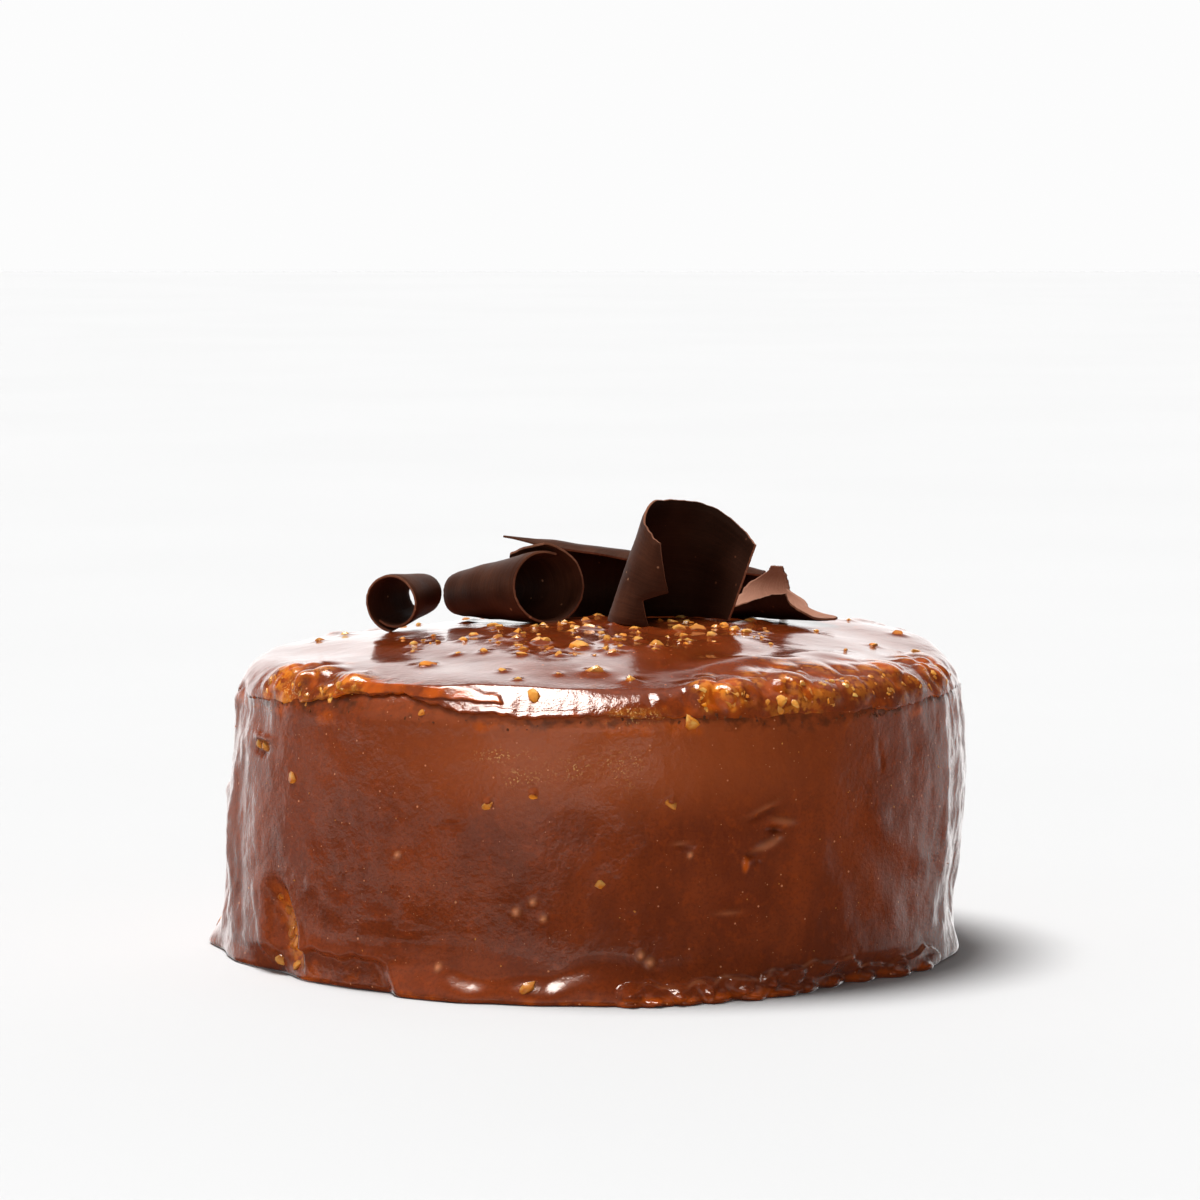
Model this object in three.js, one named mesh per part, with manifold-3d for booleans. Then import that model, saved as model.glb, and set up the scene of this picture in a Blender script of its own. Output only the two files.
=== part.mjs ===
// Round hazelnut cake under poured chocolate glaze, with chopped nuts set in the glaze and chocolate
// curls on its domed top. Millimetres, +Z up, origin in the middle of the flat base, front towards -Y.
import * as THREE from "three";
import { mergeVertices } from "three/addons/utils/BufferGeometryUtils.js";
import Module from "manifold-3d";

const { degToRad, lerp, smoothstep } = THREE.MathUtils;
const randomUnit = THREE.MathUtils.seededRandom;

// Cake sizes
const FOOT_RADIUS = 105;
const WAIST_RADIUS = 103.2;
const WAIST_HEIGHT = 13;
const BELLY_RADIUS = 106.2;
const NECK_RADIUS = 102.8;
const NECK_HEIGHT = 71;
const DOME_RADIUS = 88;
const DOME_EDGE_HEIGHT = 84.6;
const DOME_HEIGHT = 91.5;
const TOP_SHIFT = 3.6; // the cake leans: its top sits this far to the right of its base
const RING_STEPS = 120;
const ROWS = { foot: 3, wall: 7, shoulder: 7, dome: 5 };

// Glaze relief sizes
// The lip is the lower edge of the glaze poured over the top, and wanders in waves round the cake
const LIP = { height: 77.5, step: 0.9, below: 2.5, above: 1, wander: 0.8, waves: [5, 11, 19] };
// Runs are ridges of glaze down the wall, so many round the cake, that bend as they fall
const RUNS = { depth: 0.9, coarse: 17, fine: 29, bend: degToRad(4), bendLength: 13, frontShare: 0.15 };
const RUN_SIDES = [degToRad(48), degToRad(85)]; // from the front, where the runs begin and are full
// The skirt is the glaze pooled round the foot
const SKIRT = { height: 9, ripple: 0.7, waves: [23, 9] };
// The top stands higher at its right and back, and ripples
const SWELL = { x: 74, y: 44, reach: 46, rise: 4 };
const TOP_RIPPLE = { depth: 0.35, lengthX: 13, lengthY: 11, lengthAcross: 7 };

// Lobes of glaze pooled round the foot: where, how wide, how far out or in
const SKIRT_LOBES = [
  { angle: -93, width: 9, reach: 2.6 },
  { angle: -56, width: 13, reach: -4 },
  { angle: -28, width: 9, reach: 1.2 },
  { angle: -6, width: 13, reach: 6 },
  { angle: 11, width: 8, reach: 5 },
  { angle: 25, width: 6, reach: 1.6 },
  { angle: 45, width: 12, reach: -6 },
  { angle: 78, width: 6, reach: 3 },
  { angle: 118, width: 14, reach: 2.4 },
  { angle: 150, width: 10, reach: 1.6 },
  { angle: 188, width: 16, reach: 2.8 },
  { angle: 226, width: 12, reach: 1.8 },
];

// Lumps and hollows in the wall and shoulder: angle, height, half spans, and how far out or in
const WALL_MARKS = [
  { angle: -54, height: 14, across: 5, tall: 11, depth: -2.6 },
  { angle: -66, height: 79, across: 12, tall: 5, depth: 1.4 },
  { angle: 34, height: 81, across: 14, tall: 5, depth: 1.9 },
  { angle: 58, height: 80, across: 12, tall: 6, depth: 1.2 },
  { angle: 29, height: 32, across: 4, tall: 8, depth: -1 },
  { angle: -92, height: 44, across: 3, tall: 3, depth: 1.6 },
  { angle: -14, height: 6, across: 11, tall: 5, depth: 1.8 },
];

// Chopped nuts
const NUT_SEED = 27;
const NUT_SINK = 0.35; // share of a nut's radius that lies below the glaze
const NUT_CLEARANCE = 1;
const NUT_ROUGHNESS = [0.75, 1.2]; // least and most share of its radius that a nut's corner stands out
const NUT_ZONES = [
  { count: 60, x: 6, y: -30, spanX: 62, spanY: 36, radii: [0.9, 2] },
  { count: 12, x: 62, y: -12, spanX: 24, spanY: 60, radii: [0.9, 1.6] },
  { count: 10, x: -58, y: -14, spanX: 26, spanY: 56, radii: [0.8, 1.5] },
  { count: 14, x: 4, y: 70, spanX: 60, spanY: 16, radii: [0.9, 1.6] },
];
const WALL_NUTS = { count: 22, low: 12, high: 74, radii: [0.8, 1.5] };

// Chocolate curls
const CURL_THICKNESS = 1.2;
const CURL_CLEARANCE = 0.3;
const EDGE_HOLD = 9; // how closely the run of an edge stays at that edge

// Colours
const GLAZE_COLOUR = 0x6e3219;
const CHOCOLATE_COLOUR = 0x3a211b;

const wasm = await Module();
wasm.setup();

// Angle round the cake, from the front and growing to the right
function angleOf(x, y) {
  return Math.atan2(x, -y);
}

// One at the middle of a band, falling away smoothly outside its half width
function bump(distance, halfWidth) {
  return Math.exp(-((distance / halfWidth) ** 2));
}

function angleBetween(angle, degrees) {
  const turn = angle - degToRad(degrees);
  return Math.atan2(Math.sin(turn), Math.cos(turn));
}

// Outline of the bare cake from the middle of its base to the middle of its dome
function cakeProfile() {
  const foot = new THREE.QuadraticBezierCurve(
    new THREE.Vector2(FOOT_RADIUS, 0),
    new THREE.Vector2(FOOT_RADIUS, WAIST_HEIGHT * 0.45),
    new THREE.Vector2(WAIST_RADIUS, WAIST_HEIGHT),
  );
  const wall = new THREE.QuadraticBezierCurve(
    new THREE.Vector2(WAIST_RADIUS, WAIST_HEIGHT),
    new THREE.Vector2(BELLY_RADIUS, (WAIST_HEIGHT + NECK_HEIGHT) / 2),
    new THREE.Vector2(NECK_RADIUS, NECK_HEIGHT),
  );
  const edgeSlope = (2 * (DOME_HEIGHT - DOME_EDGE_HEIGHT)) / DOME_RADIUS;
  const corner = DOME_EDGE_HEIGHT - edgeSlope * (NECK_RADIUS - DOME_RADIUS);
  const shoulder = new THREE.QuadraticBezierCurve(
    new THREE.Vector2(NECK_RADIUS, NECK_HEIGHT),
    new THREE.Vector2(NECK_RADIUS, corner),
    new THREE.Vector2(DOME_RADIUS, DOME_EDGE_HEIGHT),
  );
  const dome = new THREE.QuadraticBezierCurve(
    new THREE.Vector2(DOME_RADIUS, DOME_EDGE_HEIGHT),
    new THREE.Vector2(DOME_RADIUS / 2, DOME_HEIGHT),
    new THREE.Vector2(0, DOME_HEIGHT),
  );
  const points = [new THREE.Vector2(0, 0)];
  const curves = { foot, wall, shoulder, dome };
  for (const [name, curve] of Object.entries(curves)) {
    points.push(...curve.getPoints(ROWS[name]).slice(name === "foot" ? 0 : 1));
  }
  return points;
}

// Runs of glaze down the wall, strongest at the two sides and the back
function glazeRuns(angle, height) {
  const drift = RUNS.bend * Math.sin(height / RUNS.bendLength + 3 * angle);
  const coarse = Math.sin(RUNS.coarse * (angle + drift));
  const fine = Math.sin(RUNS.fine * (angle - drift) + 1);
  const away = smoothstep(Math.abs(angle), ...RUN_SIDES);
  const onWall = smoothstep(height, 0, WAIST_HEIGHT) * (1 - smoothstep(height, NECK_HEIGHT, DOME_EDGE_HEIGHT));
  return RUNS.depth * lerp(coarse, fine, 0.4) * onWall * lerp(RUNS.frontShare, 1, away);
}

// Step under the ragged lower edge of the glaze poured over the top
function pouredLip(angle, height) {
  let edge = LIP.height;
  for (const [i, wave] of LIP.waves.entries()) {
    edge += (LIP.wander / (i + 1)) * Math.sin(wave * angle + i);
  }
  return LIP.step * smoothstep(height, edge - LIP.below, edge + LIP.above);
}

// Glaze pooled in lobes round the foot
function pooledSkirt(angle, height) {
  let reach = 0;
  for (const lobe of SKIRT_LOBES) {
    reach += lobe.reach * bump(angleBetween(angle, lobe.angle), degToRad(lobe.width));
  }
  const ripple = SKIRT.ripple * Math.sin(SKIRT.waves[0] * angle) * Math.sin(SKIRT.waves[1] * angle + 1);
  return (reach + ripple) * (1 - smoothstep(height, 0, SKIRT.height));
}

// Single lumps and hollows
function wallMarks(angle, height) {
  let depth = 0;
  for (const mark of WALL_MARKS) {
    const across = bump(angleBetween(angle, mark.angle), degToRad(mark.across));
    depth += mark.depth * across * bump(height - mark.height, mark.tall);
  }
  return depth;
}

// Height added to the domed top
function topRelief(x, y) {
  const swell = SWELL.rise * bump(Math.hypot(x - SWELL.x, y - SWELL.y), SWELL.reach);
  const waves = Math.sin(x / TOP_RIPPLE.lengthX + 1) * Math.sin(y / TOP_RIPPLE.lengthY);
  const across = Math.sin((x + y) / TOP_RIPPLE.lengthAcross);
  return swell + TOP_RIPPLE.depth * (waves + across / 2);
}

// Moves one point of the bare cake to where the glaze lies
function glazePoint(point) {
  const angle = angleOf(point.x, point.y);
  const radius = Math.hypot(point.x, point.y);
  const height = point.z;
  const onWall = smoothstep(radius, DOME_RADIUS - 4, NECK_RADIUS - 3);
  const relief = glazeRuns(angle, height) + pouredLip(angle, height) + wallMarks(angle, height);
  const grown = radius + onWall * (relief + pooledSkirt(angle, height));
  const onTop = smoothstep(height, LIP.height, DOME_EDGE_HEIGHT);
  const lean = TOP_SHIFT * smoothstep(height, 0, NECK_HEIGHT);
  point.set(
    grown * Math.sin(angle) + lean,
    -grown * Math.cos(angle),
    height + onTop * topRelief(point.x, point.y),
  );
}

// Welds a geometry, drops the faces that the weld closed up, and leaves positions alone
function welded(geometry) {
  geometry.deleteAttribute("normal");
  geometry.deleteAttribute("uv");
  const merged = mergeVertices(geometry, 1e-4);
  const kept = [];
  const corners = merged.index.array;
  for (let i = 0; i < corners.length; i += 3) {
    const [a, b, c] = corners.slice(i, i + 3);
    if (a !== b && b !== c && c !== a) {
      kept.push(a, b, c);
    }
  }
  merged.setIndex(kept);
  return merged;
}

function cakeGeometry() {
  const cake = new THREE.LatheGeometry(cakeProfile(), RING_STEPS).rotateX(Math.PI / 2);
  const bare = welded(cake);
  const places = bare.attributes.position;
  const point = new THREE.Vector3();
  for (let i = 0; i < places.count; i += 1) {
    point.fromBufferAttribute(places, i);
    glazePoint(point);
    places.setXYZ(i, point.x, point.y, point.z);
  }
  bare.computeVertexNormals();
  return bare;
}

// Smooth value between evenly spread knots, for a share from 0 to 1
function between(knots, share) {
  const at = share * (knots.length - 1);
  const first = Math.min(Math.floor(at), knots.length - 2);
  return lerp(knots[first], knots[first + 1], smoothstep(at - first, 0, 1));
}

// Straight runs between knots given as share and value
function piecewise(knots, share) {
  const next = Math.max(1, knots.findIndex(([at]) => at >= share));
  const [fromShare, from] = knots[next - 1];
  const [toShare, to] = knots[next];
  return lerp(from, to, (share - fromShare) / (toShare - fromShare));
}

// How far the front edge of the tall curl runs on, by share of its height: torn in a notch
const TORN_EDGE = [
  [0, 14],
  [0.31, -6],
  [0.45, 26],
  [1, -10],
];

// The curls. Each is a sheet rolled about an axis: `turns` are the first and last angle of the roll,
// `edges` how far those two edges run on at a share of its length, `ends` the two ends along the axis
// at a share of the roll. A level foot is cut parallel to the ground. Angles are in degrees.
const straight = () => [0, 0];
const CURLS = [
  {
    name: "curl_tall",
    at: [18.6, 4.5],
    heading: -22,
    polar: 20,
    levelFoot: true,
    steps: [22, 13],
    turns: [36, 270],
    edges: (along) => [0, piecewise(TORN_EDGE, along)],
    radius: (turn) => lerp(21.5, 11, smoothstep(turn, 30, 230)),
    ends: (around) => [0, between([30, 34, 32.2, 26.5, 24.5], around)],
  },
  {
    name: "curl_cone",
    at: [-38, 43],
    heading: -50,
    polar: 83.5,
    steps: [26, 6],
    turns: [-62, 330],
    edges: straight,
    radius: (turn, height) => lerp(5.5, 9.8, height / 39) + (1.7 * turn) / 360,
    ends: (around, turn) => [
      between([3, 1, 0, 1.5, 0], around),
      between([34, 41, 41.5, 41, 40], around) + 2.6 * Math.sin(degToRad(turn)),
    ],
  },
  {
    name: "curl_tube",
    at: [-48.9, 28],
    heading: -120,
    polar: 86,
    steps: [24, 4],
    turns: [20, 390],
    edges: straight,
    radius: (turn, height) => lerp(5.5, 6.9, height / 17) + (1.6 * turn) / 360,
    ends: (around) => [
      between([-2.5, -1.7, -2.3, -1.5, -2.5], around),
      between([19, 16.2, 16, 16.6, 19], around),
    ],
  },
  {
    name: "curl_back",
    at: [-24, 46],
    heading: 7,
    polar: 94,
    steps: [18, 14],
    turns: [-40, 200],
    edges: (along) => [0, between([-22, 4, -14, 2, 3, 3, 0], along)],
    radius: (turn, height) => lerp(11.6, 5.8, height / 77),
    ends: (around) => [
      between([20, 20, 20, 20, 19, 18, -2], around),
      between([74, 76, 74, 77, 75], around),
    ],
  },
  {
    name: "curl_trough",
    at: [37, 34],
    heading: -33,
    polar: 90,
    steps: [18, 9],
    turns: [-53, 109],
    edges: (along) => [lerp(23, -23, along), 0],
    radius: () => 10.4,
    ends: (around) => [
      between([0, 0, 0, 4, 13], around),
      between([30, 35, 40, 27, 19, 17], around),
    ],
  },
];

// How far up its axis a leaning curl is cut to stand level
function levelCut(curl, turn, low) {
  return curl.radius(turn, low) * Math.cos(degToRad(turn)) * Math.tan(degToRad(curl.polar));
}

// Rolls a flat sheet of chocolate into a curl standing on its axis
function curlGeometry(curl) {
  const sheet = new THREE.BoxGeometry(1, 1, 1, curl.steps[0], curl.steps[1], 1);
  const places = sheet.attributes.position;
  for (let i = 0; i < places.count; i += 1) {
    const around = places.getX(i) + 0.5;
    const along = places.getY(i) + 0.5;
    const [firstEdge, lastEdge] = curl.edges(along);
    const stretch = firstEdge * (1 - around) ** EDGE_HOLD + lastEdge * around ** EDGE_HOLD;
    const turn = lerp(curl.turns[0], curl.turns[1], around) + stretch;
    const [low, high] = curl.ends(around, turn);
    const foot = curl.levelFoot ? low + levelCut(curl, turn, low) : low;
    const height = lerp(foot, high, along);
    const radius = curl.radius(turn, height) + places.getZ(i) * CURL_THICKNESS;
    places.setXYZ(i, radius * Math.cos(degToRad(turn)), radius * Math.sin(degToRad(turn)), height);
  }
  const rolled = welded(sheet);
  rolled.computeVertexNormals();
  return rolled;
}

function curlMesh(curl) {
  const chocolate = new THREE.MeshStandardMaterial({
    color: CHOCOLATE_COLOUR,
    roughness: 0.45,
    metalness: 0,
  });
  const mesh = new THREE.Mesh(curlGeometry(curl), chocolate);
  mesh.name = curl.name;
  mesh.rotation.set(0, degToRad(curl.polar), degToRad(curl.heading), "ZYX");
  mesh.position.set(curl.at[0], curl.at[1], 0);
  mesh.updateMatrixWorld(true);
  return mesh;
}

function cornersOf(mesh) {
  const places = mesh.geometry.attributes.position;
  const corners = [];
  for (let i = 0; i < places.count; i += 1) {
    corners.push(new THREE.Vector3().fromBufferAttribute(places, i).applyMatrix4(mesh.matrixWorld));
  }
  return corners;
}

// First point of the glaze met from a place in a direction
const ray = new THREE.Raycaster();
function glazeHit(cake, from, direction) {
  ray.set(from, direction);
  return ray.intersectObject(cake)[0];
}

const DOWN = new THREE.Vector3(0, 0, -1);
const ABOVE = 2 * DOME_HEIGHT;

// Lowers a curl until it rests on the glaze
function restOnGlaze(mesh, cake) {
  let gap = Infinity;
  for (const corner of cornersOf(mesh)) {
    const hit = glazeHit(cake, new THREE.Vector3(corner.x, corner.y, ABOVE), DOWN);
    gap = Math.min(gap, corner.z - hit.point.z);
  }
  mesh.position.z -= gap - CURL_CLEARANCE;
  mesh.updateMatrixWorld(true);
}

// One chopped nut: a rough pebble
function nutGeometry(radius) {
  const nut = welded(new THREE.IcosahedronGeometry(radius, 0));
  const places = nut.attributes.position;
  for (let i = 0; i < places.count; i += 1) {
    const size = lerp(...NUT_ROUGHNESS, randomUnit());
    places.setXYZ(i, places.getX(i) * size, places.getY(i) * size, places.getZ(i) * size);
  }
  return nut;
}

// Where nuts lie on the top: places from the seeded random that are clear of the curls
function topNuts(cake, curlCorners) {
  const nuts = [];
  for (const zone of NUT_ZONES) {
    for (let i = 0; i < zone.count; i += 1) {
      const turn = 2 * Math.PI * randomUnit();
      const share = Math.sqrt(randomUnit());
      const radius = lerp(zone.radii[1], zone.radii[0], i / zone.count);
      const x = zone.x + zone.spanX * share * Math.cos(turn);
      const y = zone.y + zone.spanY * share * Math.sin(turn);
      const hit = glazeHit(cake, new THREE.Vector3(x, y, ABOVE), DOWN);
      const at = hit.point.clone().addScaledVector(DOWN, NUT_SINK * radius);
      const reach = NUT_ROUGHNESS[1] * radius;
      const clearOfCurls = curlCorners.every((corner) => corner.distanceTo(at) > reach + NUT_CLEARANCE);
      const clearOfNuts = nuts.every((nut) => nut.at.distanceTo(at) > nut.reach + reach);
      if (clearOfCurls && clearOfNuts && Math.hypot(x - TOP_SHIFT, y) < DOME_RADIUS) {
        nuts.push({ at, radius, reach });
      }
    }
  }
  return nuts;
}

// Where nuts lie in the wall: turned by the golden angle, at seeded heights
function wallNuts(cake) {
  const goldenAngle = Math.PI * (3 - Math.sqrt(5));
  const nuts = [];
  for (let i = 0; i < WALL_NUTS.count; i += 1) {
    const angle = i * goldenAngle;
    const outward = new THREE.Vector3(Math.sin(angle), -Math.cos(angle), 0);
    const height = lerp(WALL_NUTS.low, WALL_NUTS.high, randomUnit());
    const radius = lerp(WALL_NUTS.radii[1], WALL_NUTS.radii[0], i / WALL_NUTS.count);
    const from = outward.clone().multiplyScalar(2 * FOOT_RADIUS).setZ(height);
    const hit = glazeHit(cake, from, outward.clone().negate());
    nuts.push({ at: hit.point.clone().addScaledVector(outward, -NUT_SINK * radius), radius });
  }
  return nuts;
}

function solidOf(geometry) {
  const mesh = new wasm.Mesh({
    numProp: 3,
    vertProperties: new Float32Array(geometry.attributes.position.array),
    triVerts: new Uint32Array(geometry.index.array),
  });
  return new wasm.Manifold(mesh);
}

// The glazed cake with its nuts fused to it
function nuttyCake(cake, nuts) {
  let solid = solidOf(cake.geometry);
  for (const nut of nuts) {
    const pebble = nutGeometry(nut.radius).translate(nut.at.x, nut.at.y, nut.at.z);
    solid = solid.add(solidOf(pebble));
  }
  const mesh = solid.getMesh();
  const geometry = new THREE.BufferGeometry();
  geometry.setAttribute("position", new THREE.BufferAttribute(mesh.vertProperties, 3));
  geometry.setIndex(new THREE.BufferAttribute(mesh.triVerts, 1));
  geometry.computeVertexNormals();
  return geometry;
}

const glaze = new THREE.MeshStandardMaterial({ color: GLAZE_COLOUR, roughness: 0.2, metalness: 0 });
const cake = new THREE.Mesh(cakeGeometry(), glaze);
cake.name = "glazed_cake";
cake.updateMatrixWorld(true);

const curls = CURLS.map(curlMesh);
for (const curl of curls) {
  restOnGlaze(curl, cake);
}

randomUnit(NUT_SEED);
const nuts = [...topNuts(cake, curls.flatMap(cornersOf)), ...wallNuts(cake)];
cake.geometry = nuttyCake(cake, nuts);

const group = new THREE.Group();
group.name = "chocolate_hazelnut_cake";
group.add(cake, ...curls);

export default group;
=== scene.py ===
"""Glazed chocolate hazelnut cake with rolled chocolate curls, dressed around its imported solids."""

import itertools
import logging
import math
import random
from dataclasses import dataclass, field
from enum import Enum

import bpy
import numpy as np
from mathutils import Matrix, Vector
from mathutils.bvhtree import BVHTree


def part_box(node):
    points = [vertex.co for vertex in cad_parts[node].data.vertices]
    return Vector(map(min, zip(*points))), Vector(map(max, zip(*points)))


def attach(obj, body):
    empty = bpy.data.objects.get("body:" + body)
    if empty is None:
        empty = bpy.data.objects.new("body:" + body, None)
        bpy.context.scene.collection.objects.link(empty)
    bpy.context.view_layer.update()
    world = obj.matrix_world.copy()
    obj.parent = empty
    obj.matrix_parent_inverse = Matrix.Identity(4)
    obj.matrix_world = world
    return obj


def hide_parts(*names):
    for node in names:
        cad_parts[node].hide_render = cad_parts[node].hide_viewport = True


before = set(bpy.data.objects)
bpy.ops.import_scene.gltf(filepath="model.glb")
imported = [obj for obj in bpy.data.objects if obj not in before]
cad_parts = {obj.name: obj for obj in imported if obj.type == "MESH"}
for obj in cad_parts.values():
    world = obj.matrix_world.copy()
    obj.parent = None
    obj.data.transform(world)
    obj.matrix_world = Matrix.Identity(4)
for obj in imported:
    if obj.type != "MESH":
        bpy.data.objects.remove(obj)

Array = np.ndarray
Colour = tuple[float, float, float]
Pair = tuple[float, float]
Knots = tuple[Pair, ...]
Spots = tuple[tuple[float, float, float], ...]
Material = bpy.types.Material
Piece = bpy.types.Object
Socket = bpy.types.NodeSocket
Tree = bpy.types.NodeTree

LOG = logging.getLogger("cake")
MM = 0.001
BODY = "root"

# Degrees from the front that small flats of glaze turn to, to mirror the soft light
LIT_ANGLE = -14.6


# Maths


def smoothstep(value: Array, low: float, high: float) -> Array:
    """Eases values from 0 at low to 1 at high."""
    share = np.clip((value - low) / (high - low), 0.0, 1.0)
    return share * share * (3.0 - 2.0 * share)


def mound(distance: Array, half_width: Array | float, crispness: float = 1.0) -> Array:
    """One at the middle, falling away past a half width, and more steeply the crisper it is."""
    return np.exp(-np.power(np.square(distance / half_width), crispness))


def angle_from(angle: Array, degrees: float) -> Array:
    """Degrees from a direction, the short way round, from -180 to 180."""
    return (angle - degrees + 180.0) % 360.0 - 180.0


def sector(angle: Array, middle: float, half_width: float, crispness: float = 1.0) -> Array:
    """Mound round the cake: one at its middle angle, falling away to both sides."""
    return mound(angle_from(angle, middle), half_width, crispness)


def fanned(share: Array, crowding: float) -> Array:
    """Degrees from the front at shares of a turn that starts at the back, crowded at the front."""
    turn = 2.0 * share - 1.0
    return 180.0 * (turn - crowding * np.sin(math.pi * turn) / math.pi)


def between(knots: tuple[float, ...], share: Array) -> Array:
    """Smooth value between evenly spread knots.

    Args:
        knots: Values at even shares from 0 to 1.
        share: Where the value is wanted.

    Returns:
        The values there.
    """
    values = np.asarray(knots)
    at = np.clip(share, 0.0, 1.0) * (len(values) - 1)
    first = np.minimum(at.astype(int), len(values) - 2)
    ease = smoothstep(at - first, 0.0, 1.0)
    return values[first] + (values[first + 1] - values[first]) * ease


def bezier(first: Pair, pull: Pair, last: Pair, share: Array) -> Array:
    """Points along a curve that leaves first towards pull and ends at last."""
    ends = np.outer((1 - share) ** 2, first) + np.outer(share**2, last)
    return ends + np.outer(2 * share * (1 - share), pull)


def round_knots(knots: Knots, angle: Array) -> Array:
    """Value at angles round the cake, between knots given as degrees and value."""
    turns, values = zip(*knots)
    return np.interp(angle, turns, values, period=360.0)


def lattice_value(cells: Array, seed: int) -> Array:
    """Repeatable value from 0 to 1 for each whole-number cell.

    Args:
        cells: Whole numbers, three to a row.
        seed: Picks one of many patterns.

    Returns:
        One value a row.
    """
    mixed = cells[:, 0] * 73856093 ^ cells[:, 1] * 19349663 ^ cells[:, 2] * 83492791 ^ seed * 7919
    mixed = (mixed ^ (mixed >> 13)) * 1274126177
    return ((mixed ^ (mixed >> 16)) & 0xFFFF) / 65535.0


def lumps(points: Array, size: float, seed: int) -> Array:
    """Smooth lumps from -1 to 1.

    Args:
        points: Places in millimetres, three to a row.
        size: About how far apart the lumps are.
        seed: Picks one of many patterns.

    Returns:
        One value a row.
    """
    scaled = points / size
    low = np.floor(scaled).astype(np.int64)
    share = smoothstep(scaled - low, 0.0, 1.0)
    total = np.zeros(len(points))
    for corner in itertools.product((0, 1), repeat=3):
        weight = np.prod(np.where(np.array(corner) == 1, share, 1.0 - share), axis=1)
        total += weight * lattice_value(low + np.array(corner), seed)
    return 2.0 * total - 1.0


def rough(points: Array, size: float, seed: int, layers: int = 3) -> Array:
    """Lumps with finer lumps on them, from about -1 to 1.

    Args:
        points: Places in millimetres, three to a row.
        size: About how far apart the largest lumps are.
        seed: Picks one of many patterns.
        layers: How many times finer lumps are added.

    Returns:
        One value a row.
    """
    total = np.zeros(len(points))
    for layer in range(layers):
        total += lumps(points, size / 2.1**layer, seed + 31 * layer) / 2.0**layer
    return total / 1.6


# Mesh work


def deselect_all() -> None:
    """Leaves nothing selected, so that the next operator acts on one piece alone."""
    bpy.ops.object.select_all(action="DESELECT")


def pick(piece: Piece) -> None:
    """Selects one piece alone and makes it active.

    Args:
        piece: The piece.
    """
    deselect_all()
    piece.select_set(True)
    bpy.context.view_layer.objects.active = piece


def add_sheet(name: str, across: int, along: int) -> Piece:
    """Adds a flat grid that a piece is shaped from.

    Args:
        name: Name of the piece.
        across: Faces along its first side.
        along: Faces along its second side.

    Returns:
        The new object.
    """
    deselect_all()
    bpy.ops.mesh.primitive_grid_add(x_subdivisions=across, y_subdivisions=along, size=1.0)
    sheet = bpy.context.object
    sheet.name = name
    sheet.data.name = name
    return sheet


def read_places(piece: Piece) -> Array:
    """Vertices of a piece, in metres, three to a row.

    Args:
        piece: The piece.

    Returns:
        Their places.
    """
    places = np.zeros(len(piece.data.vertices) * 3, np.float32)
    piece.data.vertices.foreach_get("co", places)
    return places.reshape(-1, 3).astype(float)


def write_places(piece: Piece, places: Array) -> None:
    """Moves the vertices of a piece to places in millimetres."""
    piece.data.vertices.foreach_set("co", (places * MM).astype(np.float32).ravel())
    piece.data.update()


def sheet_shares(sheet: Piece) -> tuple[Array, Array]:
    """Shares from 0 to 1 across and along a flat grid, for each vertex."""
    places = read_places(sheet)
    return places[:, 0] + 0.5, places[:, 1] + 0.5


def rolled_grid(name: str, columns: int, rows: int, crowding: float) -> tuple[Piece, Array, Array]:
    """Adds a grid that is to be rolled round the cake.

    Args:
        name: Name of the piece.
        columns: Faces round the cake.
        rows: Rows of vertices.
        crowding: How much closer the columns are at the front.

    Returns:
        The grid, and the angle in degrees and the row of each vertex.
    """
    sheet = add_sheet(name, columns, rows - 1)
    across, along = sheet_shares(sheet)
    return sheet, fanned(across, crowding), np.rint(along * (rows - 1)).astype(int)


def drawn_in(row: Array, shares: dict[int, float]) -> Array:
    """Share of the radius that each vertex keeps: all of it, but for the rows that close a skin.

    Args:
        row: Row of each vertex.
        shares: Share that is kept, by row.

    Returns:
        One share a vertex.
    """
    share = np.ones(len(row))
    for closing_row, kept in shares.items():
        share[row == closing_row] = kept
    return share


def paint(piece: Piece, name: str, channels: tuple[Array, ...]) -> None:
    """Stores up to four masks on the vertices of a piece.

    Args:
        piece: The piece.
        name: Name that its material reads.
        channels: The masks, one value a vertex.
    """
    marks = piece.data.color_attributes.new(name, "FLOAT_COLOR", "POINT")
    values = np.zeros((len(piece.data.vertices), 4), np.float32)
    for index, channel in enumerate(channels):
        values[:, index] = np.clip(channel, 0.0, 1.0)
    marks.data.foreach_set("color", values.ravel())


def close_seams(piece: Piece) -> None:
    """Welds the edges of a rolled grid that meet, and turns its faces outwards.

    Args:
        piece: The rolled grid.
    """
    pick(piece)
    bpy.ops.object.mode_set(mode="EDIT")
    bpy.ops.mesh.select_all(action="SELECT")
    bpy.ops.mesh.remove_doubles(threshold=1e-6)
    bpy.ops.mesh.normals_make_consistent(inside=False)
    bpy.ops.object.mode_set(mode="OBJECT")


def shade_smooth(piece: Piece, degrees: float | None = None) -> None:
    """Shades a piece smooth, apart from edges sharper than the given angle.

    Args:
        piece: The piece.
        degrees: The angle, or None for no sharp edges.
    """
    pick(piece)
    if degrees is None:
        bpy.ops.object.shade_smooth()
    else:
        bpy.ops.object.shade_smooth_by_angle(angle=math.radians(degrees))


def apply_modifier(piece: Piece, kind: str, **settings: object) -> None:
    """Adds a modifier with its settings and applies it.

    Args:
        piece: The piece.
        kind: Type of the modifier.
        settings: Values of its fields.
    """
    pick(piece)
    modifier = piece.modifiers.new(kind.lower(), kind)
    for name, value in settings.items():
        setattr(modifier, name, value)
    bpy.ops.object.modifier_apply(modifier=modifier.name)


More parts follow.
